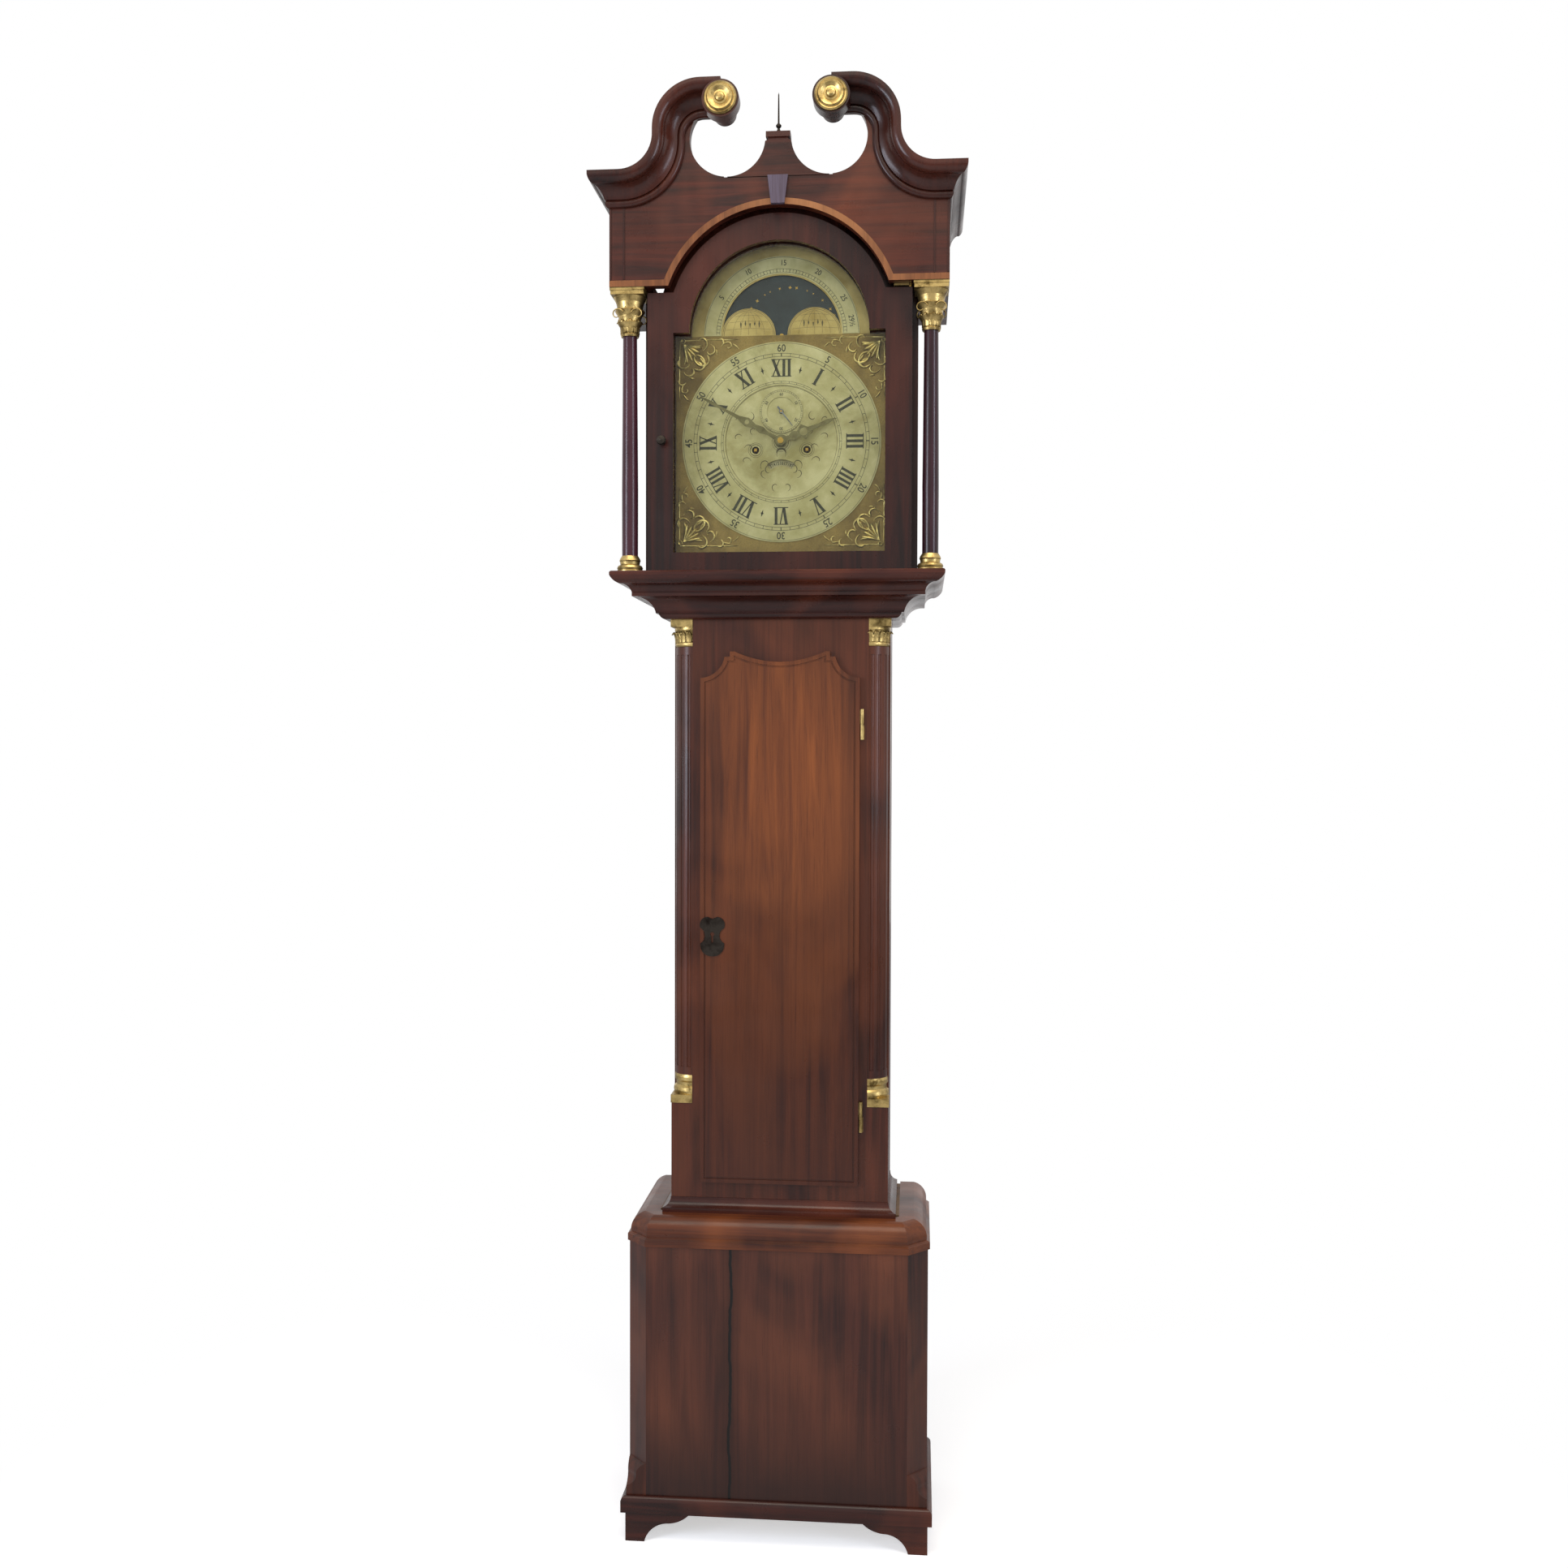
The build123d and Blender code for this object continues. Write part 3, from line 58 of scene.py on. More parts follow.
def depth(mm):
    """Y in metres of a plane this many millimetres behind the trunk front."""
    return TRUNK_Y + mm * MM


# Colour and shader helpers

def tint(code):
    """sRGB hex to linear colour."""
    parts = [int(code[i:i + 2], 16) / 255 for i in (1, 3, 5)]
    return [p / 12.92 if p <= 0.04045 else ((p + 0.055) / 1.055) ** 2.4 for p in parts] + [1.0]


class Shader:
    """A material with one helper that adds a node, sets it up and links its inputs."""

    def __init__(self, name):
        self.mat = bpy.data.materials.new(name)
        self.mat.use_nodes = True
        self.tree = self.mat.node_tree
        self.bsdf = self.tree.nodes["Principled BSDF"]
        self.out = self.tree.nodes["Material Output"]
        self.where = self.node("ShaderNodeTexCoord").outputs["Object"]

    def node(self, kind, inputs=None, **settings):
        n = self.tree.nodes.new(kind)
        for key, value in settings.items():
            setattr(n, key, value)
        for key, value in (inputs or {}).items():
            self.put(n.inputs[key], value)
        return n

    def put(self, socket, value):
        if isinstance(value, bpy.types.NodeSocket):
            self.tree.links.new(value, socket)
        else:
            socket.default_value = value

    def surface(self, **inputs):
        for key, value in inputs.items():
            self.put(self.bsdf.inputs[key.replace("_", " ")], value)
        return self.mat

    def stretch(self, scale, offset=(0, 0, 0)):
        place = {"Vector": self.where, "Scale": scale, "Location": offset}
        return self.node("ShaderNodeMapping", place).outputs[0]

    def noise(self, scale, vector=None, detail=3.0, rough=0.5, warp=0.0):
        look = {"Vector": vector or self.where, "Scale": scale, "Detail": detail, "Roughness": rough,
                "Distortion": warp}
        return self.node("ShaderNodeTexNoise", look).outputs["Fac"]

    def spread(self, value, low, high, to_low=0.0, to_high=1.0):
        ends = {"Value": value, "From Min": low, "From Max": high, "To Min": to_low, "To Max": to_high}
        return self.node("ShaderNodeMapRange", ends).outputs[0]

    def mix(self, amount, a, b, how="MIX"):
        n = self.node("ShaderNodeMix", data_type="RGBA", blend_type=how)
        for key, value in ((0, amount), (6, a), (7, b)):
            self.put(n.inputs[key], value)
        return n.outputs[2]

    def sums(self, how, a, b=0.0):
        return self.node("ShaderNodeMath", {0: a, 1: b}, operation=how).outputs[0]

    def bump(self, height, size_mm, strength=0.5):
        depths = {"Height": height, "Distance": size_mm * MM, "Strength": strength}
        return self.node("ShaderNodeBump", depths).outputs[0]

    def axes(self):
        return self.node("ShaderNodeSeparateXYZ", {0: self.where}).outputs


# how far the broad figure and the fine streaks are drawn out along the grain
GRAIN = {"z": ((1, 1, 0.045), (1, 1, 0.012)), "x": ((0.045, 1, 1), (0.012, 1, 1))}


def wood(name, dark, mid, light, grain="z", seed=0.0, gloss=0.26, blotch=5.0,
         high=None, low=None, crack=None):
    """Old polished timber: long figure, fine pores and uneven colour, under a worn french polish.

    high is a faded patch (x, z, reach in x, reach in z, colour), low a darker foot (z where it is
    darkest, z where it ends, colour), and crack the x of an upright split, all in metres.
    """
    s = Shader(name)
    broad, fine = GRAIN[grain]
    place = (seed, seed * 1.7, seed * 0.6)
    figure = s.noise(46, s.stretch(broad, place), 6, 0.62, 1.4)
    streak = s.noise(150, s.stretch(fine, place), 3, 0.6)
    pores = s.noise(1500, s.stretch(fine, place), 2, 0.6)
    cloud = s.noise(blotch, s.stretch((1, 1, 0.55), place), 3, 0.55, 0.6)
    tone = s.mix(s.spread(figure, 0.36, 0.66), tint(dark), tint(mid))
    tone = s.mix(s.spread(cloud, 0.44, 0.72), tone, tint(light))
    tone = s.mix(s.spread(streak, 0.5, 0.75, 0.0, 0.45), tone, tint(dark))
    if high:
        x, y, z = s.axes()
        spot_x, spot_z, reach_x, reach_z, colour = high
        dx = s.sums("DIVIDE", s.sums("SUBTRACT", x, spot_x), reach_x)
        dz = s.sums("DIVIDE", s.sums("SUBTRACT", z, spot_z), reach_z)
        away = s.sums("SQRT", s.sums("ADD", s.sums("MULTIPLY", dx, dx), s.sums("MULTIPLY", dz, dz)))
        away = s.sums("ADD", away, s.spread(cloud, 0.3, 0.7, 0.25, -0.25))
        faded = s.mix(s.spread(figure, 0.3, 0.7), tint(mid), tint(colour))
        tone = s.mix(s.spread(away, 0.2, 1.15, 0.8, 0.0), tone, faded)
    if low:
        z = s.axes()[2]
        z_dark, z_clear, colour = low
        foot = s.spread(z, z_dark, z_clear, 0.85, 0.0)
        fade = s.sums("MULTIPLY", foot, s.spread(cloud, 0.35, 0.6, 0.3, 1.0))
        tone = s.mix(fade, tone, tint(colour))
    tone = s.mix(s.spread(pores, 0.6, 0.72, 0.0, 0.5), tone, tint("#1a0c08"))
    pits = s.sums("MULTIPLY", s.spread(pores, 0.58, 0.7, 0.0, -1.0), 0.3)
    height = s.sums("ADD", pits, s.sums("MULTIPLY", streak, 0.5))
    if crack is not None:
        wander = s.spread(s.noise(9, s.stretch((0.01, 0.01, 1)), 4, 0.6), 0.3, 0.7, -0.004, 0.004)
        aside = s.sums("SUBTRACT", s.axes()[0], crack)
        off = s.sums("ABSOLUTE", s.sums("SUBTRACT", aside, wander))
        gap = s.spread(off, 0.0014, 0.0026, 1.0, 0.0)
        shade = s.spread(off, 0.0, 0.02, 0.7, 0.0)
        tone = s.mix(shade, tone, tint("#241009"))
        tone = s.mix(gap, tone, tint("#070302"))
        height = s.sums("SUBTRACT", height, s.sums("MULTIPLY", gap, 4.0))
    worn = s.noise(14, None, 4, 0.6)
    s.surface(Base_Color=tone, Roughness=s.spread(worn, 0.3, 0.72, gloss, gloss + 0.2),
              Normal=s.bump(height, 0.25, 0.35), Specular_IOR_Level=0.24, Coat_Weight=0.1,
              Coat_Roughness=0.1)
    return s.mat


def metal(name, clean, tarnish, rough=0.24, grime=0.45, scale=60, dent=0.15):
    """Cast or turned metal with patches of tarnish and soft hand-polish dents."""
    s = Shader(name)
    patch = s.noise(scale, None, 5, 0.62, 0.4)
    fleck = s.noise(scale * 9, None, 2, 0.5)
    tone = s.mix(s.spread(patch, 0.42, 0.7, 0.0, grime * 1.6), tint(clean), tint(tarnish))
    tone = s.mix(s.spread(fleck, 0.6, 0.75, 0.0, 0.4), tone, tint(tarnish))
    s.surface(Base_Color=tone, Metallic=1.0, Roughness=s.spread(patch, 0.35, 0.7, rough, rough + 0.22),
              Normal=s.bump(s.noise(scale * 3, None, 2), dent, 0.4))
    return s.mat


# Places on the dial, in millimetres
DIAL_Z = 1665.0                  # centre of the chapter ring
ARCH_Z = 1826.0                  # centre of the arch and of the moon disc
HUMP_X = 50.0
GLOBE = 36.0                     # radius of the globe engraved on each hump
WINDING_X = 39.0
WINDING_DROP = 11.6
DATE_Z = DIAL_Z - 62.0
# front faces of sheet, rings and discs, in millimetres behind the trunk front
DIAL_FACE = 8.0
RING_FACE = 6.5
DISC_FACE = 12.0
ARCH_STEP = (1.8255, 1.8265)     # metres, where the arch's plain brass begins
CENTRE_EDGE = (0.0858, 0.0862)   # metres, the rim of the silvered centre


def from_centre(s):
    """Distance from the centre of the dial, in metres."""
    x, y, z = s.axes()
    dz = s.sums("SUBTRACT", z, DIAL_Z * MM)
    return s.sums("SQRT", s.sums("ADD", s.sums("MULTIPLY", x, x), s.sums("MULTIPLY", dz, dz)))


def stained(s, tone):
    """Yellow-green stains over old silvering."""
    stain = s.noise(9, s.stretch((1, 1, 1), (2.0, 0.0, 0.7)), 5, 0.7, 0.8)
    return s.mix(s.spread(stain, 0.5, 0.68, 0.0, 0.6), tone, tint("#8f8449"))


def dial_metal():
    """Dial sheet: silvered centre, matted gilt brass round it, and plain brass in the arch."""
    s = Shader("dial sheet, silvered centre and gilt field")
    centre = s.spread(from_centre(s), *CENTRE_EDGE, 1.0, 0.0)
    mat = s.noise(1100, None, 2, 0.6)
    wear = s.noise(22, None, 4, 0.6)
    gilt = s.mix(s.spread(wear, 0.4, 0.7), tint("#a4894a"), tint("#755e2e"))
    gilt = s.mix(s.spread(mat, 0.5, 0.62, 0.0, 0.4), gilt, tint("#5a4720"))
    silver = stained(s, s.mix(s.spread(wear, 0.35, 0.7), tint("#d8cf9e"), tint("#aea26b")))
    arch = s.spread(s.axes()[2], *ARCH_STEP, 0.0, 1.0)
    sheet = s.mix(s.spread(wear, 0.35, 0.7), tint("#d8c07c"), tint("#ab9250"))
    tone = s.mix(arch, s.mix(centre, gilt, silver), sheet)
    s.surface(Base_Color=tone, Metallic=0.45, Roughness=s.spread(wear, 0.3, 0.7, 0.36, 0.5),
              Normal=s.bump(s.sums("MULTIPLY", mat, s.sums("SUBTRACT", 1.0, centre)), 0.25, 0.5))
    return s.mat


def silvered():
    """Old silvering: warm pale metal, brushed in circles, with stains."""
    s = Shader("silvered brass rings")
    brushed = s.noise(2600, s.node("ShaderNodeCombineXYZ", {0: from_centre(s)}).outputs[0], 2)
    wear = s.noise(16, None, 4, 0.65)
    tone = stained(s, s.mix(s.spread(wear, 0.35, 0.68), tint("#dcd3a2"), tint("#b3a86f")))
    s.surface(Base_Color=tone, Metallic=0.3, Roughness=s.spread(brushed, 0.3, 0.7, 0.4, 0.52),
              Normal=s.bump(brushed, 0.03, 0.5))
    return s.mat


def plain(name, code, other, rough=0.5, metallic=0.0, scale=40):
    """Paint, wax or gut: one colour broken up by a second."""
    s = Shader(name)
    patch = s.noise(scale, None, 4, 0.6)
    tone = s.mix(s.spread(patch, 0.35, 0.7), tint(code), tint(other))
    s.surface(Base_Color=tone, Metallic=metallic,
              Roughness=s.spread(patch, 0.3, 0.7, rough, rough + 0.12))
    return s.mat


def pane():
    """Thin old glass: clear to light and shadow, with a faint uneven reflection."""
    s = Shader("old crown glass")
    ripple = s.bump(s.noise(7, None, 2), 1.2, 0.12)
    shine = s.node("ShaderNodeBsdfGlossy", {"Roughness": 0.03, "Normal": ripple})
    clear = s.node("ShaderNodeBsdfTransparent", {"Color": tint("#f4f6f2")})
    edge = s.node("ShaderNodeFresnel", {"IOR": 1.5, "Normal": ripple}).outputs[0]
    share = s.sums("MULTIPLY", edge, 0.45)
    both = s.node("ShaderNodeMixShader", {0: share, 1: clear.outputs[0], 2: shine.outputs[0]})
    s.put(s.out.inputs["Surface"], both.outputs[0])
    return s.mat


case_wood = dict(dark="#230f09", mid="#472015", light="#5e301c")
MATS = {
    # dark red-brown case timber, lighter where it is rubbed
    "case": wood("mahogany case front", **case_wood, seed=0.3),
    "base": wood("mahogany base panel", "#24110e", "#472319", "#623522", seed=4.1, blotch=4.0,
                 low=(0.09, 0.2, "#1e0f0d"), crack=-0.069),
    # the trunk door is the warmest, most faded board
    "door": wood("mahogany trunk door", "#2a120b", "#4f2614", "#68381c", seed=7.7, blotch=4.5,
                 high=(0.0, 1.2, 0.11, 0.22, "#874a22"), low=(0.5, 1.0, "#3a1a10")),
    "hood": wood("mahogany hood", "#180a08", "#33150f", "#482218", seed=2.2, gloss=0.2),
    "frieze": wood("mahogany frieze", "#240f0a", "#481f15", "#62311e", grain="x", seed=9.3, gloss=0.24),
    "rail": wood("mahogany mouldings across", "#200c09", "#3f1a12", "#582919", grain="x", seed=5.6,
                 gloss=0.2),
    # the base moulding's brighter orange tones are painted light falling from above, a lit copy of the
    # moulding timber
    "cove": wood("mahogany base moulding, painted light from above", "#34170d", "#5e2e17", "#7a411f", grain="x",
                 seed=6.4),
    "column": wood("mahogany hood columns, dark gloss", "#1d0d10", "#351822", "#43202a", seed=3.5,
                   gloss=0.12),
    "banding": wood("faded crossbanding", "#5e3820", "#7d4d2c", "#93623c", grain="z", seed=1.9, gloss=0.3),
    # the keystone's blue-grey tones are a painted reflection of window light on dark mahogany
    "key": wood("mahogany keystone, painted window reflection", "#43363c", "#5d5463", "#6d6472", seed=8.8, gloss=0.1),
    "oak": wood("unpolished oak boards", "#4b3522", "#6b4e31", "#7f6140", seed=1.1, gloss=0.6),
    "brass": metal("lacquered brass mounts", "#b89f66", "#4a3a1c", 0.3, 0.6),
    "plates": metal("movement brass", "#cfa650", "#8a6a2c", 0.26, 0.3),
    "bellmetal": metal("bell metal", "#c2ac72", "#6f5c30", 0.2),
    "bob": metal("pendulum bob brass", "#d8ae52", "#8a6626", 0.16, 0.2),
    "steel": metal("blued and bright steel", "#8d8f92", "#4a4a4c", 0.3, 0.4),
    "iron": metal("dark iron", "#35302b", "#1c1613", 0.5, 0.6),
    "weight": metal("cast iron weights", "#4a4845", "#2b2724", 0.55, 0.6, 120, 0.6),
    "hands": metal("pierced brass hands, dulled", "#857d58", "#4a442a", 0.34, 0.4),
    "casting": metal("gilt spandrel castings", "#e6d089", "#6a5226", 0.3, 0.4, 110),
    "dial": dial_metal(),
    "silver": silvered(),
    "glass": pane(),
    "gut": plain("gut line", "#8b7442", "#6d5930", 0.4),
    "night": plain("painted night sky", "#161f24", "#27343a", 0.35, scale=26),
    "moon": plain("painted moon", "#c9b784", "#a79560", 0.4, scale=50),
    "star": plain("gilt stars", "#c9a44c", "#a4843a", 0.3, 0.6),
    "wax": plain("engraver's black wax", "#2e2d22", "#46442f", 0.45, scale=300),
    "cut": plain("engraved line", "#4a4026", "#5d5030", 0.5, scale=300),
    "datewax": plain("date disc silvering", "#b9b08a", "#9c9168", 0.4, 0.6),
}

# which CAD nodes wear each material
LOOK = {
    "base": "base_front_panel",
    "case": "base_sides trunk_front_frame trunk_sides quarter_columns",
    "cove": "base_top_moulding",
    "rail": "bracket_plinth plinth_band trunk_foot_moulding throat_moulding hood_base_moulding",
    "oak": "back_boards seat_board",
    "brass": "trunk_brasses trunk_hinge_knuckles paterae hood_brasses",
    "door": "trunk_door_board",
    "iron": "trunk_lock finial_spike hood_door_knob",
    "frieze": "pediment_board",
    "hood": "pediment_mouldings hood_carcass dial_mask hood_door_frame",
    "banding": "arch_banding",
    "key": "keystone",
    "column": "hood_column_shafts",
    "glass": "hood_door_glass",
    "dial": "dial_plate",
    "silver": "dial_rings",
    "casting": "spandrels",
    "night": "moon_disc",
    "datewax": "date_disc",
    "plates": "movement_plates movement_pillars going_barrel strike_barrel centre_wheel "
              "third_wheel escape_wheel going_great_wheel cannon_pinion minute_wheel hour_wheel",
    "hands": "minute_hand hour_hand",
    "steel": "seconds_hand movement_cocks hammer pallets_and_crutch pendulum_rod",
    "bellmetal": "bell",
    "bob": "pendulum_bob",
    "weight": "going_weight strike_weight",
    "gut": "going_line strike_line",
}
for look, nodes in LOOK.items():
    for node in nodes.split():
        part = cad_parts[node]
        part.data.materials.clear()
        part.data.materials.append(MATS[look])


# Flat work on the dial: strokes cut from thin sheet

class Sheet:
    """Gathers flat polygons drawn in X and Z millimetres, then makes one thin piece of them."""

    def __init__(self):
        self.faces = []

    def polygon(self, points):
        self.faces.append([(float(x), float(z)) for x, z in points])

    def bar(self, x0, z0, x1, z1, width, width1=None):
        length = math.hypot(x1 - x0, z1 - z0) or 1.0
        nx, nz = -(z1 - z0) / length / 2, (x1 - x0) / length / 2
        w1 = width if width1 is None else width1
        self.polygon([(x0 - nx * width, z0 - nz * width), (x1 - nx * w1, z1 - nz * w1),
                      (x1 + nx * w1, z1 + nz * w1), (x0 + nx * width, z0 + nz * width)])

    def ring(self, x, z, radius, width, start=0.0, end=360.0, steps=120):
        count = max(3, int(steps * abs(end - start) / 360))
        for i in range(count):
            a, b = (math.radians(start + (end - start) * k / count) for k in (i, i + 1))
            inner, outer = radius - width / 2, radius + width / 2
            self.polygon([(x + r * math.cos(t), z + r * math.sin(t))
                          for r, t in ((inner, a), (outer, a), (outer, b), (inner, b))])

    def disc(self, x, z, radius, steps=20):
        turns = [2 * math.pi * i / steps for i in range(steps)]
        self.polygon([(x + radius * math.cos(t), z + radius * math.sin(t)) for t in turns])

    def stroke(self, points, widths):
        """A line of changing width through points."""
        for i in range(len(points) - 1):
            self.bar(*points[i], *points[i + 1], widths[i], widths[i + 1])

    def placed(self, other, x, z, turn=0.0, size=1.0):
        """Another sheet's polygons, sized, turned clockwise by turn degrees and moved."""
        c, s = math.cos(math.radians(-turn)), math.sin(math.radians(-turn))
        for face in other.faces:
            moved = []
            for u, v in face:
                moved.append((x + size * (u * c - v * s), z + size * (u * s + v * c)))
            self.polygon(moved)

    def make(self, name, front, material, body, thick=0.12):
        mesh = bmesh.new()
        for face in self.faces:
            corners = [mesh.verts.new((x * MM, depth(front), z * MM)) for x, z in face]
            try:
                mesh.faces.new(corners)
            except ValueError:
                continue
        bmesh.ops.recalc_face_normals(mesh, faces=mesh.faces[:])
        flat = [f for f in mesh.faces if f.normal.y > 0]
        bmesh.ops.reverse_faces(mesh, faces=flat)
        raised = bmesh.ops.extrude_face_region(mesh, geom=mesh.faces[:])
        lifted = [g for g in raised["geom"] if isinstance(g, bmesh.types.BMVert)]
        bmesh.ops.translate(mesh, verts=lifted, vec=(0, -thick * MM, 0))
        return finish_piece(mesh, name, material, body)


def finish_piece(mesh, name, material, body, smooth=False):
    data = bpy.data.meshes.new(name)
    mesh.to_mesh(data)
    mesh.free()
    piece = bpy.data.objects.new(name, data)
    bpy.context.scene.collection.objects.link(piece)
    data.materials.append(MATS[material])
    if smooth:
        for face in data.polygons:
            face.use_smooth = True
    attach(piece, body)
    return piece


def lettering(text, height):
    """Plain figures as a sheet centred on the origin, height in millimetres."""
    curve = bpy.data.curves.new("figures", "FONT")
    curve.body = text
    curve.align_x = "CENTER"
    curve.resolution_u = 3
    curve.offset = 0.012
    shape = bpy.data.objects.new("figures", curve)
    mesh = shape.to_mesh()
    sheet = Sheet()
    size = height / 0.7
    for face in mesh.polygons:
        sheet.polygon([(mesh.vertices[i].co.x * size * 0.86, (mesh.vertices[i].co.y - 0.34) * size)
                       for i in face.vertices])
    shape.to_mesh_clear()
    bpy.data.objects.remove(shape)
    bpy.data.curves.remove(curve)
    return sheet


def roman(text, height=26.0):
    """Roman numeral with thick and thin strokes and serif lines, centred and upright."""
    thick, thin = 4.2, 1.7
    widths = {"I": 8.0, "V": 15.0, "X": 15.5}
    total = sum(widths[c] for c in text)
    sheet, x, top, low = Sheet(), -total / 2, height / 2, -height / 2
    for c in text:
        w = widths[c]
        mid = x + w / 2
        if c == "I":
            sheet.bar(mid, low, mid, top, thick)
        if c == "V":
            sheet.bar(x + 3.2, top, mid, low, thick)
            sheet.bar(x + w - 2.2, top, mid + 0.5, low, thin)
        if c == "X":
            sheet.bar(x + 2.8, top, x + w - 2.8, low, thick)
            sheet.bar(x + w - 2.6, top, x + 2.6, low, thin)
        x += w
    sheet.bar(-total / 2 + 0.4, top - 0.4, total / 2 - 0.4, top - 0.4, 1.3)
    sheet.bar(-total / 2 + 0.4, low + 0.4, total / 2 - 0.4, low + 0.4, 1.3)
    return sheet


def around(sheet, item, turn, radius, z0=DIAL_Z, size=1.0):
    """Puts an item at a clock angle round (0, z0), its head outwards."""
    a = math.radians(turn)
    sheet.placed(item, radius * math.sin(a), z0 + radius * math.cos(a), turn, size)


# the chapter ring: hour figures, minute dots and figures, and the lines that bound them
hours = Sheet()
HOUR_RADIUS, HALF_HOUR_RADIUS, FIGURE_RADIUS = 111.5, 111, 141.3
MINUTE_IN, MINUTE_OUT, RIM = 128.6, 133.4, 148.9
QUARTER_IN, QUARTER_OUT = 88.5, 91.5
for i, text in enumerate(["XII", "I", "II", "III", "IIII", "V", "VI", "VII", "VIII", "IX", "X", "XI"]):
    around(hours, roman(text), i * 30, HOUR_RADIUS, size=0.92 if len(text) > 3 else 1.0)
for radius, width in ((QUARTER_IN, 0.5), (QUARTER_OUT, 0.5), (MINUTE_IN, 0.6), (MINUTE_OUT, 0.6),
                      (RIM, 0.5)):
    hours.ring(0, DIAL_Z, radius, width)
for i in range(60):
    a = math.radians(i * 6)
    s, c = math.sin(a), math.cos(a)
    hours.bar(MINUTE_IN * s, DIAL_Z + MINUTE_IN * c, MINUTE_OUT * s, DIAL_Z + MINUTE_OUT * c,
              1.5 if i % 5 == 0 else 0.7)
for i in range(48):
    a = math.radians(i * 7.5)
    s, c = math.sin(a), math.cos(a)
    hours.bar(QUARTER_IN * s, DIAL_Z + QUARTER_IN * c, QUARTER_OUT * s, DIAL_Z + QUARTER_OUT * c, 0.6)
for i in range(12):
    diamond = Sheet()
    diamond.polygon([(0, 6), (1.5, 0), (0, -6), (-1.5, 0)])
    diamond.polygon([(-3, 0), (0, 1.2), (3, 0), (0, -1.2)])
    around(hours, diamond, i * 30 + 15, HALF_HOUR_RADIUS)
    around(hours, lettering(str(i * 5 or 60), 10.8), i * 30, FIGURE_RADIUS)
hours.make("chapter_numerals", RING_FACE, "wax", "case")

# the seconds ring
seconds = Sheet()
SECONDS_Z = DIAL_Z + 46.0
SECONDS_IN, SECONDS_OUT, SECONDS_FIGURES = 30.0, 32.2, 26.0
for i in range(60):
    a = math.radians(i * 6)
    s, c = math.sin(a), math.cos(a)
    seconds.bar(SECONDS_IN * s, SECONDS_Z + SECONDS_IN * c, SECONDS_OUT * s, SECONDS_Z + SECONDS_OUT * c,
                0.7 if i % 5 == 0 else 0.35)
seconds.ring(0, SECONDS_Z, SECONDS_IN, 0.3)
seconds.ring(0, SECONDS_Z, 32.4, 0.3)
for i in range(6):
    around(seconds, lettering(str(i * 10 or 60), 4.6), i * 60, SECONDS_FIGURES, SECONDS_Z)
seconds.make("seconds_figures", RING_FACE, "wax", "case")

# the scale of the moon's age: 29.5 days over the arch's 174 degrees
lunar = Sheet()
LUNAR_IN, LUNAR_OUT, LUNAR_FIGURES, LUNAR_RIM = 94.0, 99.0, 108.0, 116.5
LUNAR_DAYS, LUNAR_SPAN = 29.5, 174
for radius in (LUNAR_IN, LUNAR_OUT, LUNAR_RIM):
    lunar.ring(0, ARCH_Z, radius, 0.5, 1, 179)
for i in range(60):
    a = math.radians(3 + i * LUNAR_SPAN / 59)
    c, s = math.cos(a), math.sin(a)
    lunar.bar(LUNAR_IN * c, ARCH_Z + LUNAR_IN * s, LUNAR_OUT * c, ARCH_Z + LUNAR_OUT * s,
              0.9 if i % 2 else 0.5)
for day, text in ((5, "5"), (10, "10"), (15, "15"), (20, "20"), (25, "25"), (LUNAR_DAYS, "29½")):
    turn = -87 + day * LUNAR_SPAN / LUNAR_DAYS
    around(lunar, lettering(text, 8.0), min(turn, 80), LUNAR_FIGURES, ARCH_Z)
lunar.make("lunar_figures", RING_FACE, "wax", "case")


# Scroll drawing

def curl(x, z, start, turn, radius, shrink=0.55, steps=22):
    """Points of a spiral that starts at (x, z) heading start degrees and winds by turn degrees."""
    points = [(x, z)]
    heading = math.radians(start)
    for i in range(steps):
        r = radius * (1 - (1 - shrink) * i / steps)
        part = math.radians(turn) / steps
        heading += part
        step = abs(part) * r
        x += step * math.cos(heading)
        z += step * math.sin(heading)
        points.append((x, z))
    return points


def swell(count, small, large):
    """Widths of a stroke that is small at its ends and large in the middle."""
    return [small + (large - small) * math.sin(math.pi * min(1.0, (i + 0.5) / count)) for i in range(count)]


class Relief:
    """Half-round raised strokes in X and Z, for castings and carving."""

    def __init__(self):
        self.mesh = bmesh.new()

    def stroke(self, points, widths, front, height):
        rows = []
        for i, (x, z) in enumerate(points):
            ax, az = points[max(0, i - 1)]
            bx, bz = points[min(len(points) - 1, i + 1)]
            length = math.hypot(bx - ax, bz - az) or 1.0
            nx, nz = -(bz - az) / length, (bx - ax) / length
            row = []
            for k in range(7):
                a = math.pi * k / 6
                side = math.cos(a) * widths[i] / 2
                up = math.sin(a) * height * min(1.0, widths[i] / 3.0)
                spot = ((x + nx * side) * MM, depth(front - up), (z + nz * side) * MM)
                row.append(self.mesh.verts.new(spot))
            rows.append(row)
        for a, b in zip(rows, rows[1:]):
            for k in range(6):
                self.mesh.faces.new((a[k], a[k + 1], b[k + 1], b[k]))
            self.mesh.faces.new((a[6], a[0], b[0], b[6]))
        self.mesh.faces.new(rows[0])
        self.mesh.faces.new(rows[-1][::-1])


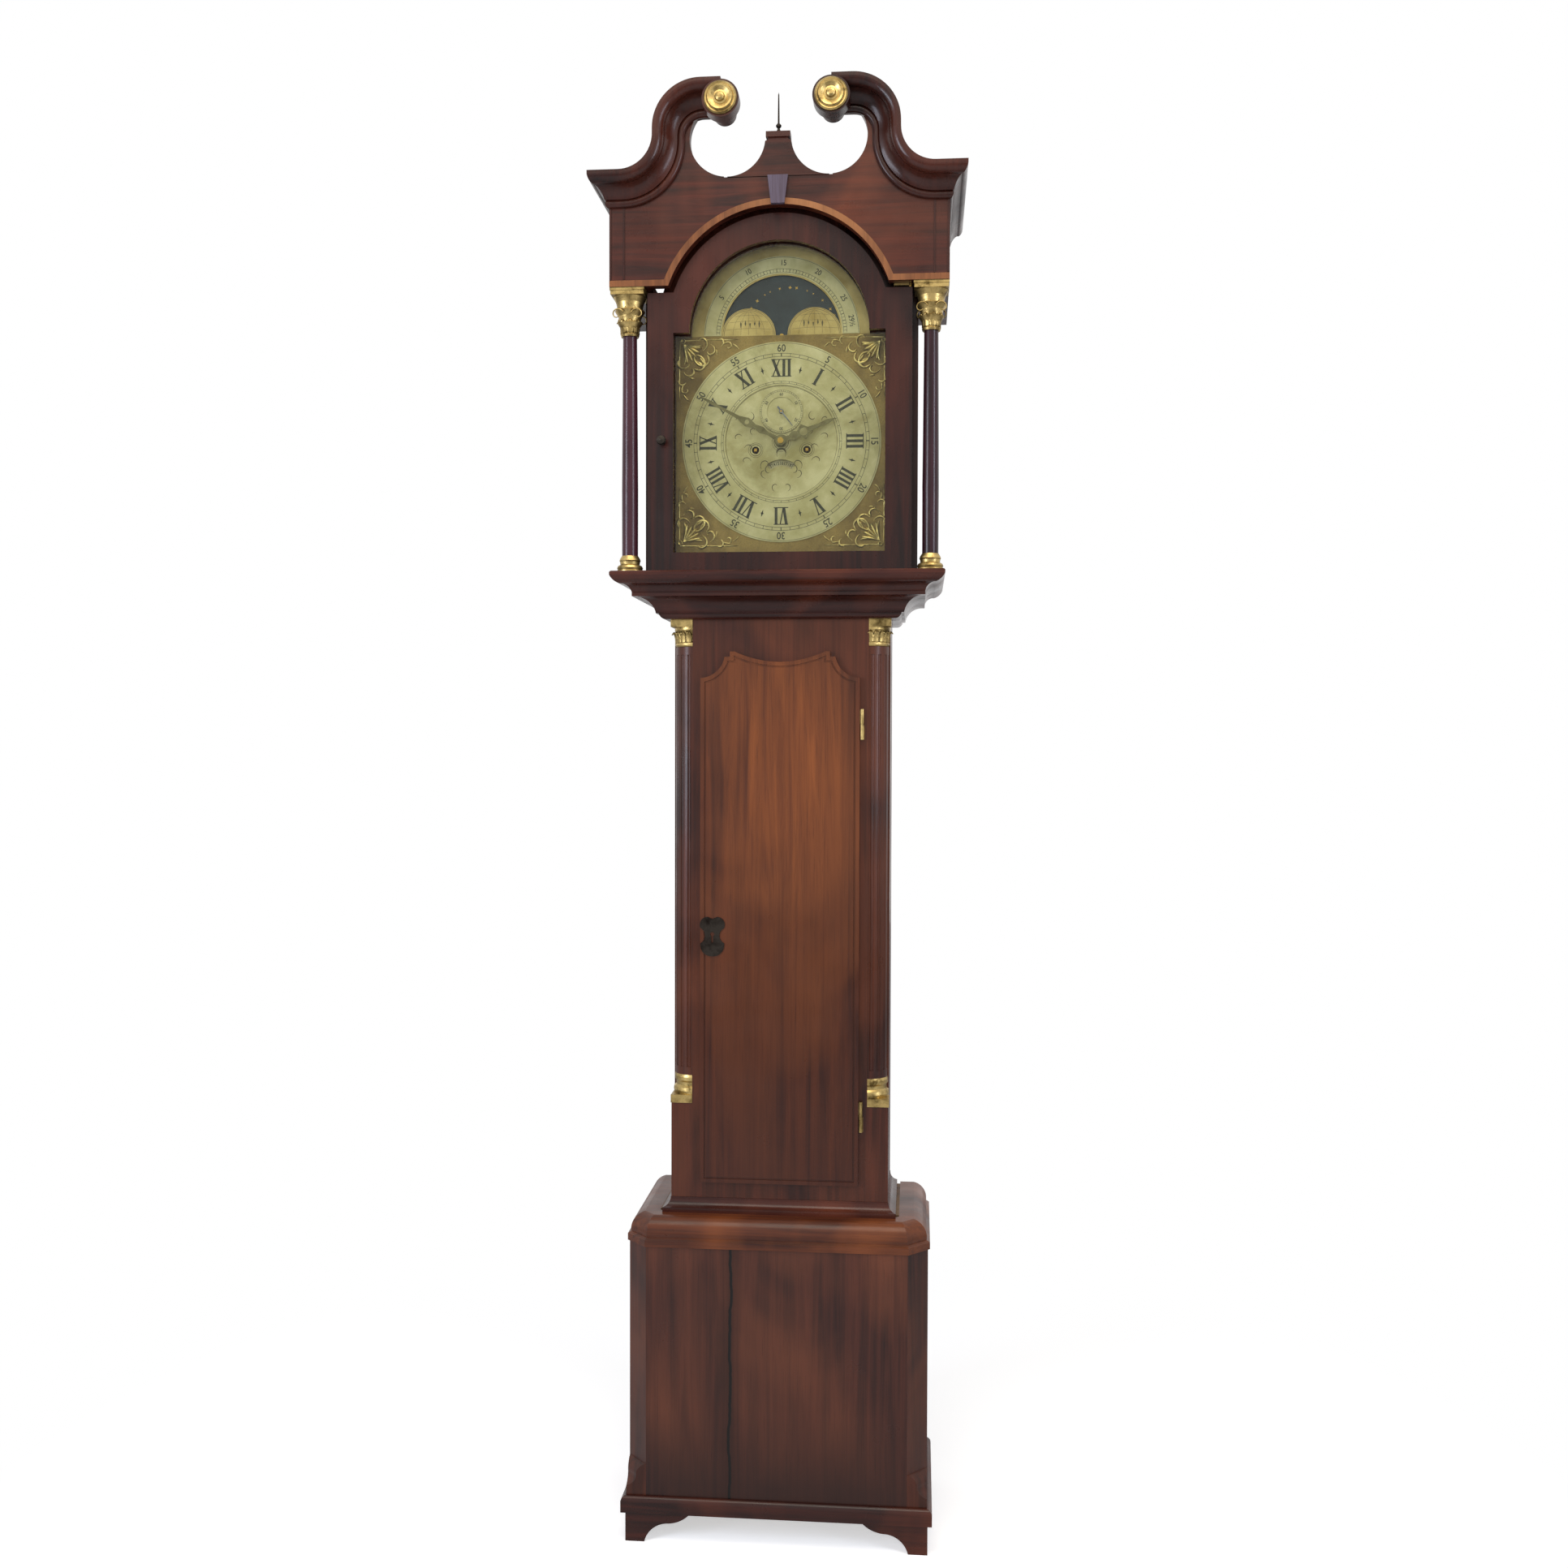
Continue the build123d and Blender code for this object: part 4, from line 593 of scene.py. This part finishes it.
def spandrel(relief, turn):
    """One corner casting: a shell in the corner and a leafy scroll running out along each side."""
    c, s = math.cos(math.radians(turn)), math.sin(math.radians(turn))
    corner = 158.0               # from the dial's centre to the casting's outer edge

    def place(points, flip):
        moved = []
        for u, v in points:
            u, v = (v, u) if flip else (u, v)
            x, z = corner - u, corner - v
            moved.append((x * c - z * s, DIAL_Z + x * s + z * c))
        return moved

    def draw(points, small, large, height, flips=(False, True)):
        for flip in flips:
            relief.stroke(place(points, flip), swell(len(points), small, large), DIAL_FACE, height)

    draw([(3, 3), (30, 2.2), (62, 2.2), (92, 2.4)], 1.2, 2.0, 1.6)
    draw(curl(20, 26, -28, 250, 17, 0.25, 26), 1.0, 4.6, 2.6)
    draw(curl(38, 18, -20, -230, 12, 0.3, 22), 1.0, 4.0, 2.4)
    draw(curl(50, 9, 12, 260, 9.5, 0.3, 20), 0.8, 3.6, 2.2)
    draw(curl(66, 12, -24, -200, 7.5, 0.35, 18), 0.8, 3.2, 2.0)
    draw(curl(78, 6, 10, 220, 5.5, 0.4, 16), 0.7, 2.6, 1.8)
    for u, v, heading, length, width in ((10, 22, 70, 16, 4.2), (28, 34, 20, 15, 4.0), (44, 24, 50, 12, 3.6),
                                         (58, 16, 60, 9, 3.0), (70, 8, -30, 11, 2.8), (84, 9, 20, 12, 2.6)):
        a = math.radians(heading)
        points = [(u + length * k / 6 * math.cos(a + k * 0.06), v + length * k / 6 * math.sin(a + k * 0.06))
                  for k in range(7)]
        draw(points, 0.5, width, 2.2)
    for k in range(-2, 3):
        a = math.radians(45 + k * 17)
        points = [(9 + r * math.cos(a), 9 + r * math.sin(a)) for r in (0, 6, 12, 18, 24, 28)]
        draw(points, 0.8, 5.2, 3.0, (False,))
    draw(curl(6, 6, 45, 350, 3.0, 0.9, 14), 1.6, 2.6, 2.4, (False,))


castings = Relief()
for quarter in range(4):
    spandrel(castings, 90 * quarter)
spandrels = finish_piece(castings.mesh, "spandrel_castings", "casting", "case", True)
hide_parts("spandrels")

# engraving: scrolls on the dial centre, rings round the winding holes, globes on the humps
engraved = Sheet()
for side in (-1, 1):
    for x, z, start, turn, radius in ((6, -22, 60, 250, 10), (14, -34, 20, -220, 9), (30, -40, 50, 230, 9),
                                      (46, -28, 80, -210, 8), (56, -8, 100, 220, 7), (60, 10, 60, -200, 7),
                                      (44, 12, 20, 240, 6), (24, -54, 0, 200, 8), (10, -74, 20, 220, 7),
                                      (46, 46, 200, 230, 8), (62, 30, 120, -210, 6)):
        points = [(side * x, DIAL_Z + z) for x, z in curl(x, z, start, turn, radius, 0.3, 20)]
        engraved.stroke(points, swell(len(points), 0.3, 1.3))
    engraved.ring(side * WINDING_X, DIAL_Z - WINDING_DROP, 8.5, 0.9)
    engraved.ring(side * WINDING_X, DIAL_Z - WINDING_DROP, 11, 0.5)
    for radius in (GLOBE + 3.4, GLOBE + 1.4):
        engraved.ring(side * HUMP_X, ARCH_Z + 0.4, radius, 0.6, 0, 180)
    for bow in (-24, -12, 0, 12, 24):
        turns = [math.radians(a) for a in range(2, 92, 6)]
        points = [(side * HUMP_X + bow * math.cos(a), ARCH_Z + GLOBE * math.sin(a)) for a in turns]
        engraved.stroke(points, [0.35] * len(points))
    for level in (9, 20, 29):
        half = math.sqrt(GLOBE ** 2 - level ** 2)
        points = [(side * HUMP_X + half * k / 8, ARCH_Z + level + 2 * math.cos(k / 8 * 1.57))
                  for k in range(-8, 9)]
        engraved.stroke(points, [0.35] * len(points))
    for k in range(5):
        points = [(side * (34 + 7 * k), ARCH_Z + p) for p in (12 + 3 * (k % 2), 18, 23 - 2 * (k % 3))]
        engraved.stroke(points, [0.6, 2.4, 0.5])
for radius, width in ((84.6, 0.5), (11, 0.8), (14, 0.4)):
    engraved.ring(0, DIAL_Z, radius, width)
engraved.make("dial_engraving", DIAL_FACE, "cut", "case", 0.06)

# the moon disc: stars spread by the golden angle and its fraction, none over the painted moons
stars = Sheet()
GOLDEN_ANGLE, GOLDEN_PART = 2.39996, 0.618
MOON_RADIUS, MOON_MARGIN = 33.6, 37
for k in range(34):
    a, r = k * GOLDEN_ANGLE, 22 + 66 * ((k * GOLDEN_PART) % 1.0)
    x, z = r * math.cos(a), r * math.sin(a)
    if math.hypot(abs(x) - HUMP_X, z) < MOON_MARGIN:
        continue
    point = Sheet()
    size = 1.6 + (k % 3) * 0.7
    notch = size * 0.28
    point.polygon([(0, size), (notch, notch), (size, 0), (notch, -notch), (0, -size), (-notch, -notch),
                   (-size, 0), (-notch, notch)])
    stars.placed(point, x, ARCH_Z + z, k * 20)
stars.make("moon_stars", DISC_FACE, "star", "moon_disc", 0.08)
moons = Sheet()
for side in (-1, 1):
    moons.disc(side * HUMP_X, ARCH_Z, MOON_RADIUS, 48)
moons.make("painted_moons", DISC_FACE - 0.5, "moon", "moon_disc", 0.08)

# the date disc: 31 figures, the 16th uppermost
dates = Sheet()
DATE_RADIUS = 31.0
for day in range(1, 32):
    around(dates, lettering(str(day), 5.0), (day - 16) * 360 / 31, DATE_RADIUS, DATE_Z)
dates.make("date_figures", DISC_FACE, "wax", "date_disc", 0.08)


# Leaves and scrolls on the brass capitals

FOLD = 0.55                      # where a leaf's blade folds, as a share of its half width
HOOD_COLUMN = (225, -28)         # X, and depth behind the trunk front
TRUNK_COLUMN = (134, 32)


def capital_leaves(relief, x0, y0, low, height, core, tiers, count, arc=(0, 360)):
    """Rings of upright leaves that curl outwards at their tips, round an upright axis."""
    for tier in range(tiers):
        base = low + tier * height * 0.36
        tall = height * (0.46 if tiers > 1 else 0.8)
        span = arc[1] - arc[0]
        for i in range(count):
            a = math.radians(arc[0] + span * (i + 0.5 * (tier % 2) + 0.25) / count)
            out = Vector((math.cos(a), math.sin(a), 0))
            side = Vector((-math.sin(a), math.cos(a), 0))
            middle = Vector((x0 * MM, depth(y0), 0))
            wide = math.radians(span) * core / count * 0.52
            rows = []
            for k in range(8):
                t = k / 7
                reach = core + tier * 1.6 + 1.0 + 5.4 * t ** 3
                z = base + tall * (t if t < 0.86 else 0.86 - (t - 0.86) * 1.2)
                w = wide * (0.55 + 0.6 * math.sin(math.pi * min(1, t * 0.95 + 0.1))) * (1 - 0.5 * t ** 4)
                row = []
                for j in (-1, -FOLD, 0, FOLD, 1):
                    fold = (1.4 - 1.6 * abs(j)) if abs(j) != FOLD else -0.5
                    edge = 1.0 + 0.12 * math.sin(k * 2.6) * abs(j)
                    p = middle + out * (reach + fold) * MM + side * (j * w * edge) * MM
                    p.z = z * MM
                    row.append(relief.mesh.verts.new(p))
                rows.append(row)
            for a_row, b_row in zip(rows, rows[1:]):
                for k in range(4):
                    relief.mesh.faces.new((a_row[k], a_row[k + 1], b_row[k + 1], b_row[k]))


leaves = Relief()
for side in (-1, 1):
    x = side * HOOD_COLUMN[0]
    capital_leaves(leaves, x, HOOD_COLUMN[1], 1821, 50, 12.0, 2, 8)
    for dx in (-1, 1):
        points = [(x + dx * px, 1845 + pz) for px, pz in curl(6, 4, 70, -330, 9.5, 0.22, 26)]
        widths = [2.4 - 1.3 * k / len(points) for k in range(len(points))]
        for front in (-50, -9):
            leaves.stroke(points, widths, front, 2.2)
hood_leaves = finish_piece(leaves.mesh, "hood_capital_leaves", "brass", "hood", True)
leaves = Relief()
for side, arc in ((1, (-90, 0)), (-1, (180, 270))):
    capital_leaves(leaves, side * TRUNK_COLUMN[0], TRUNK_COLUMN[1], 1361, 26, 29.2, 1, 5, arc)
trunk_leaves = finish_piece(leaves.mesh, "trunk_capital_leaves", "brass", "case", True)
for piece in (hood_leaves, trunk_leaves):
    shell = piece.modifiers.new("sheet thickness", "SOLIDIFY")
    shell.thickness = 0.6 * MM


# Wooden details of the hood

FRIEZE_FRONT, FRIEZE_BACK = -55, -40


def strips():
    """Thin upright beads at the corners of the frieze."""
    mesh = bmesh.new()
    for side in (-1, 1):
        for edge in (229.0, 249.0):
            made = bmesh.ops.create_cube(mesh, size=1.0)["verts"]
            bmesh.ops.scale(mesh, verts=made, vec=(2.4 * MM, 1.6 * MM, 104 * MM))
            bmesh.ops.translate(mesh, verts=made, vec=(side * edge * MM, depth(FRIEZE_FRONT - 0.4), 1.947))
    return finish_piece(mesh, "frieze_corner_beads", "hood", "hood")


strips()


def pedestal():
    """The board sweeps up in a hollow curve on each side to the foot of the finial block."""
    mesh = bmesh.new()
    cut_x, cut_z, radius = 75, 2098, 56          # the round cut beside the block
    ledge, block_half, block_foot = 2040, 15, 2094
    turns = [math.radians(a) for a in range(0, 87, 4)]
    arc = [(cut_x - radius * math.sin(a), cut_z - radius * math.cos(a)) for a in turns]
    points = [(cut_x, ledge)] + arc + [(block_half, block_foot), (block_half, ledge)]
    for side in (-1, 1):
        rows = [[mesh.verts.new((side * x * MM, depth(y), z * MM)) for x, z in points]
                for y in (FRIEZE_FRONT, FRIEZE_BACK)]
        for k in range(len(points)):
            n = (k + 1) % len(points)
            mesh.faces.new((rows[0][k], rows[0][n], rows[1][n], rows[1][k]))
        for row in rows:
            mesh.faces.new(row)
    bmesh.ops.recalc_face_normals(mesh, faces=mesh.faces[:])
    return finish_piece(mesh, "finial_pedestal", "frieze", "hood")


pedestal()


def rope(name):
    """A doubled gut line from the seat board's underside to its pulley, copied from the CAD line."""
    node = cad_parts[f"{name}_line"]
    piece = bpy.data.objects.new(f"{name}_gut", node.data.copy())
    bpy.context.scene.collection.objects.link(piece)
    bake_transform(piece)
    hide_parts(f"{name}_line")


rope("going")
rope("strike")


# Stage, light and camera

def stage_floor():
    """A pale floor that keeps the object's shadow and fades to plain white away from it."""
    mesh = bmesh.new()
    bmesh.ops.create_grid(mesh, x_segments=1, y_segments=1, size=8)
    data = bpy.data.meshes.new("floor")
    mesh.to_mesh(data)
    mesh.free()
    floor = bpy.data.objects.new("floor", data)
    bpy.context.scene.collection.objects.link(floor)
    s = Shader("pale floor")
    s.surface(Base_Color=tint("#f4f4f4"), Roughness=0.9)
    glow = s.node("ShaderNodeEmission", {"Color": (1, 1, 1, 1), "Strength": 0.5})
    white = s.node("ShaderNodeEmission", {"Color": (1, 1, 1, 1), "Strength": 1.0})
    path = s.node("ShaderNodeLightPath").outputs["Is Camera Ray"]
    add = s.node("ShaderNodeAddShader", {0: s.bsdf.outputs[0], 1: glow.outputs[0]})
    away = s.node("ShaderNodeVectorMath", {0: s.where}, operation="LENGTH").outputs["Value"]
    fade = s.spread(away, 0.35, 1.3)
    seen = s.node("ShaderNodeMixShader", {0: fade, 1: add.outputs[0], 2: white.outputs[0]})
    both = s.node("ShaderNodeMixShader", {0: path, 1: s.bsdf.outputs[0], 2: seen.outputs[0]})
    s.put(s.out.inputs["Surface"], both.outputs[0])
    data.materials.append(s.mat)


stage_floor()

# a grey room light, seen as plain white by the camera, in reflections and through glass
world = bpy.data.worlds.new("room")
bpy.context.scene.world = world
world.use_nodes = True
tree = world.node_tree
sky_node = tree.nodes["Background"]
sky_node.inputs["Color"].default_value = tint("#d9dade")
sky_node.inputs["Strength"].default_value = 0.34
white = tree.nodes.new("ShaderNodeBackground")
white.inputs["Color"].default_value = (1, 1, 1, 1)
white.inputs["Strength"].default_value = 1.0
light_path = tree.nodes.new("ShaderNodeLightPath")
seen = tree.nodes.new("ShaderNodeMixShader")
total = light_path.outputs["Is Camera Ray"]
for kind in ("Is Glossy Ray", "Is Transmission Ray"):
    plus = tree.nodes.new("ShaderNodeMath")
    plus.use_clamp = True
    tree.links.new(total, plus.inputs[0])
    tree.links.new(light_path.outputs[kind], plus.inputs[1])
    total = plus.outputs[0]
tree.links.new(total, seen.inputs[0])
tree.links.new(sky_node.outputs[0], seen.inputs[1])
tree.links.new(white.outputs[0], seen.inputs[2])
tree.links.new(seen.outputs[0], tree.nodes["World Output"].inputs["Surface"])


def window(name, place, aim, size, watts, colour):
    """A rectangular soft light at place that faces aim."""
    lamp = bpy.data.lights.new(name, "AREA")
    lamp.shape = "RECTANGLE"
    lamp.size, lamp.size_y = size
    lamp.energy = watts
    lamp.color = tint(colour)[:3]
    holder = bpy.data.objects.new(name, lamp)
    bpy.context.scene.collection.objects.link(holder)
    holder.location = place
    holder.rotation_euler = (Vector(aim) - Vector(place)).to_track_quat("-Z", "Y").to_euler()
    return holder


window("left window", (-2.4, -2.2, 1.7), (0, 0, 1.3), (0.9, 1.8), 62, "#e6eeff")
window("right window", (2.5, -1.8, 1.9), (0, 0, 1.3), (0.7, 1.8), 38, "#e6eeff")
fill = window("front fill", (0.3, -3.4, 1.5), (0, 0, 1.4), (1.6, 1.6), 14, "#fff6ea")
fill.visible_glossy = False
window("ceiling light", (0.2, -1.2, 3.4), (0, 0, 1.0), (2.2, 1.4), 46, "#fff4e2")

# the camera, fitted to the photograph's level and upright lines
YAW, PITCH, ROLL = math.radians(5.06), math.radians(1.42), math.radians(0.15)
FOCAL_PIXELS, PHOTO_PIXELS, SENSOR = 1850, 1932, 36
PLACE = (0.207, depth(-2268), 1.204)
forward = Vector((-math.sin(YAW) * math.cos(PITCH), math.cos(YAW) * math.cos(PITCH), -math.sin(PITCH)))
right = Vector((math.cos(YAW), math.sin(YAW), 0))
up = right.cross(forward)
right, up = right * math.cos(ROLL) + up * math.sin(ROLL), up * math.cos(ROLL) - right * math.sin(ROLL)
lens = bpy.data.cameras.new("camera")
lens.sensor_width = SENSOR
lens.lens = FOCAL_PIXELS / PHOTO_PIXELS * SENSOR
camera = bpy.data.objects.new("camera", lens)
bpy.context.scene.collection.objects.link(camera)
turn = Matrix((right, up, -forward)).transposed().to_4x4()
camera.matrix_world = Matrix.Translation(PLACE) @ turn
bpy.context.scene.camera = camera
bpy.context.scene.view_settings.view_transform = "Standard"
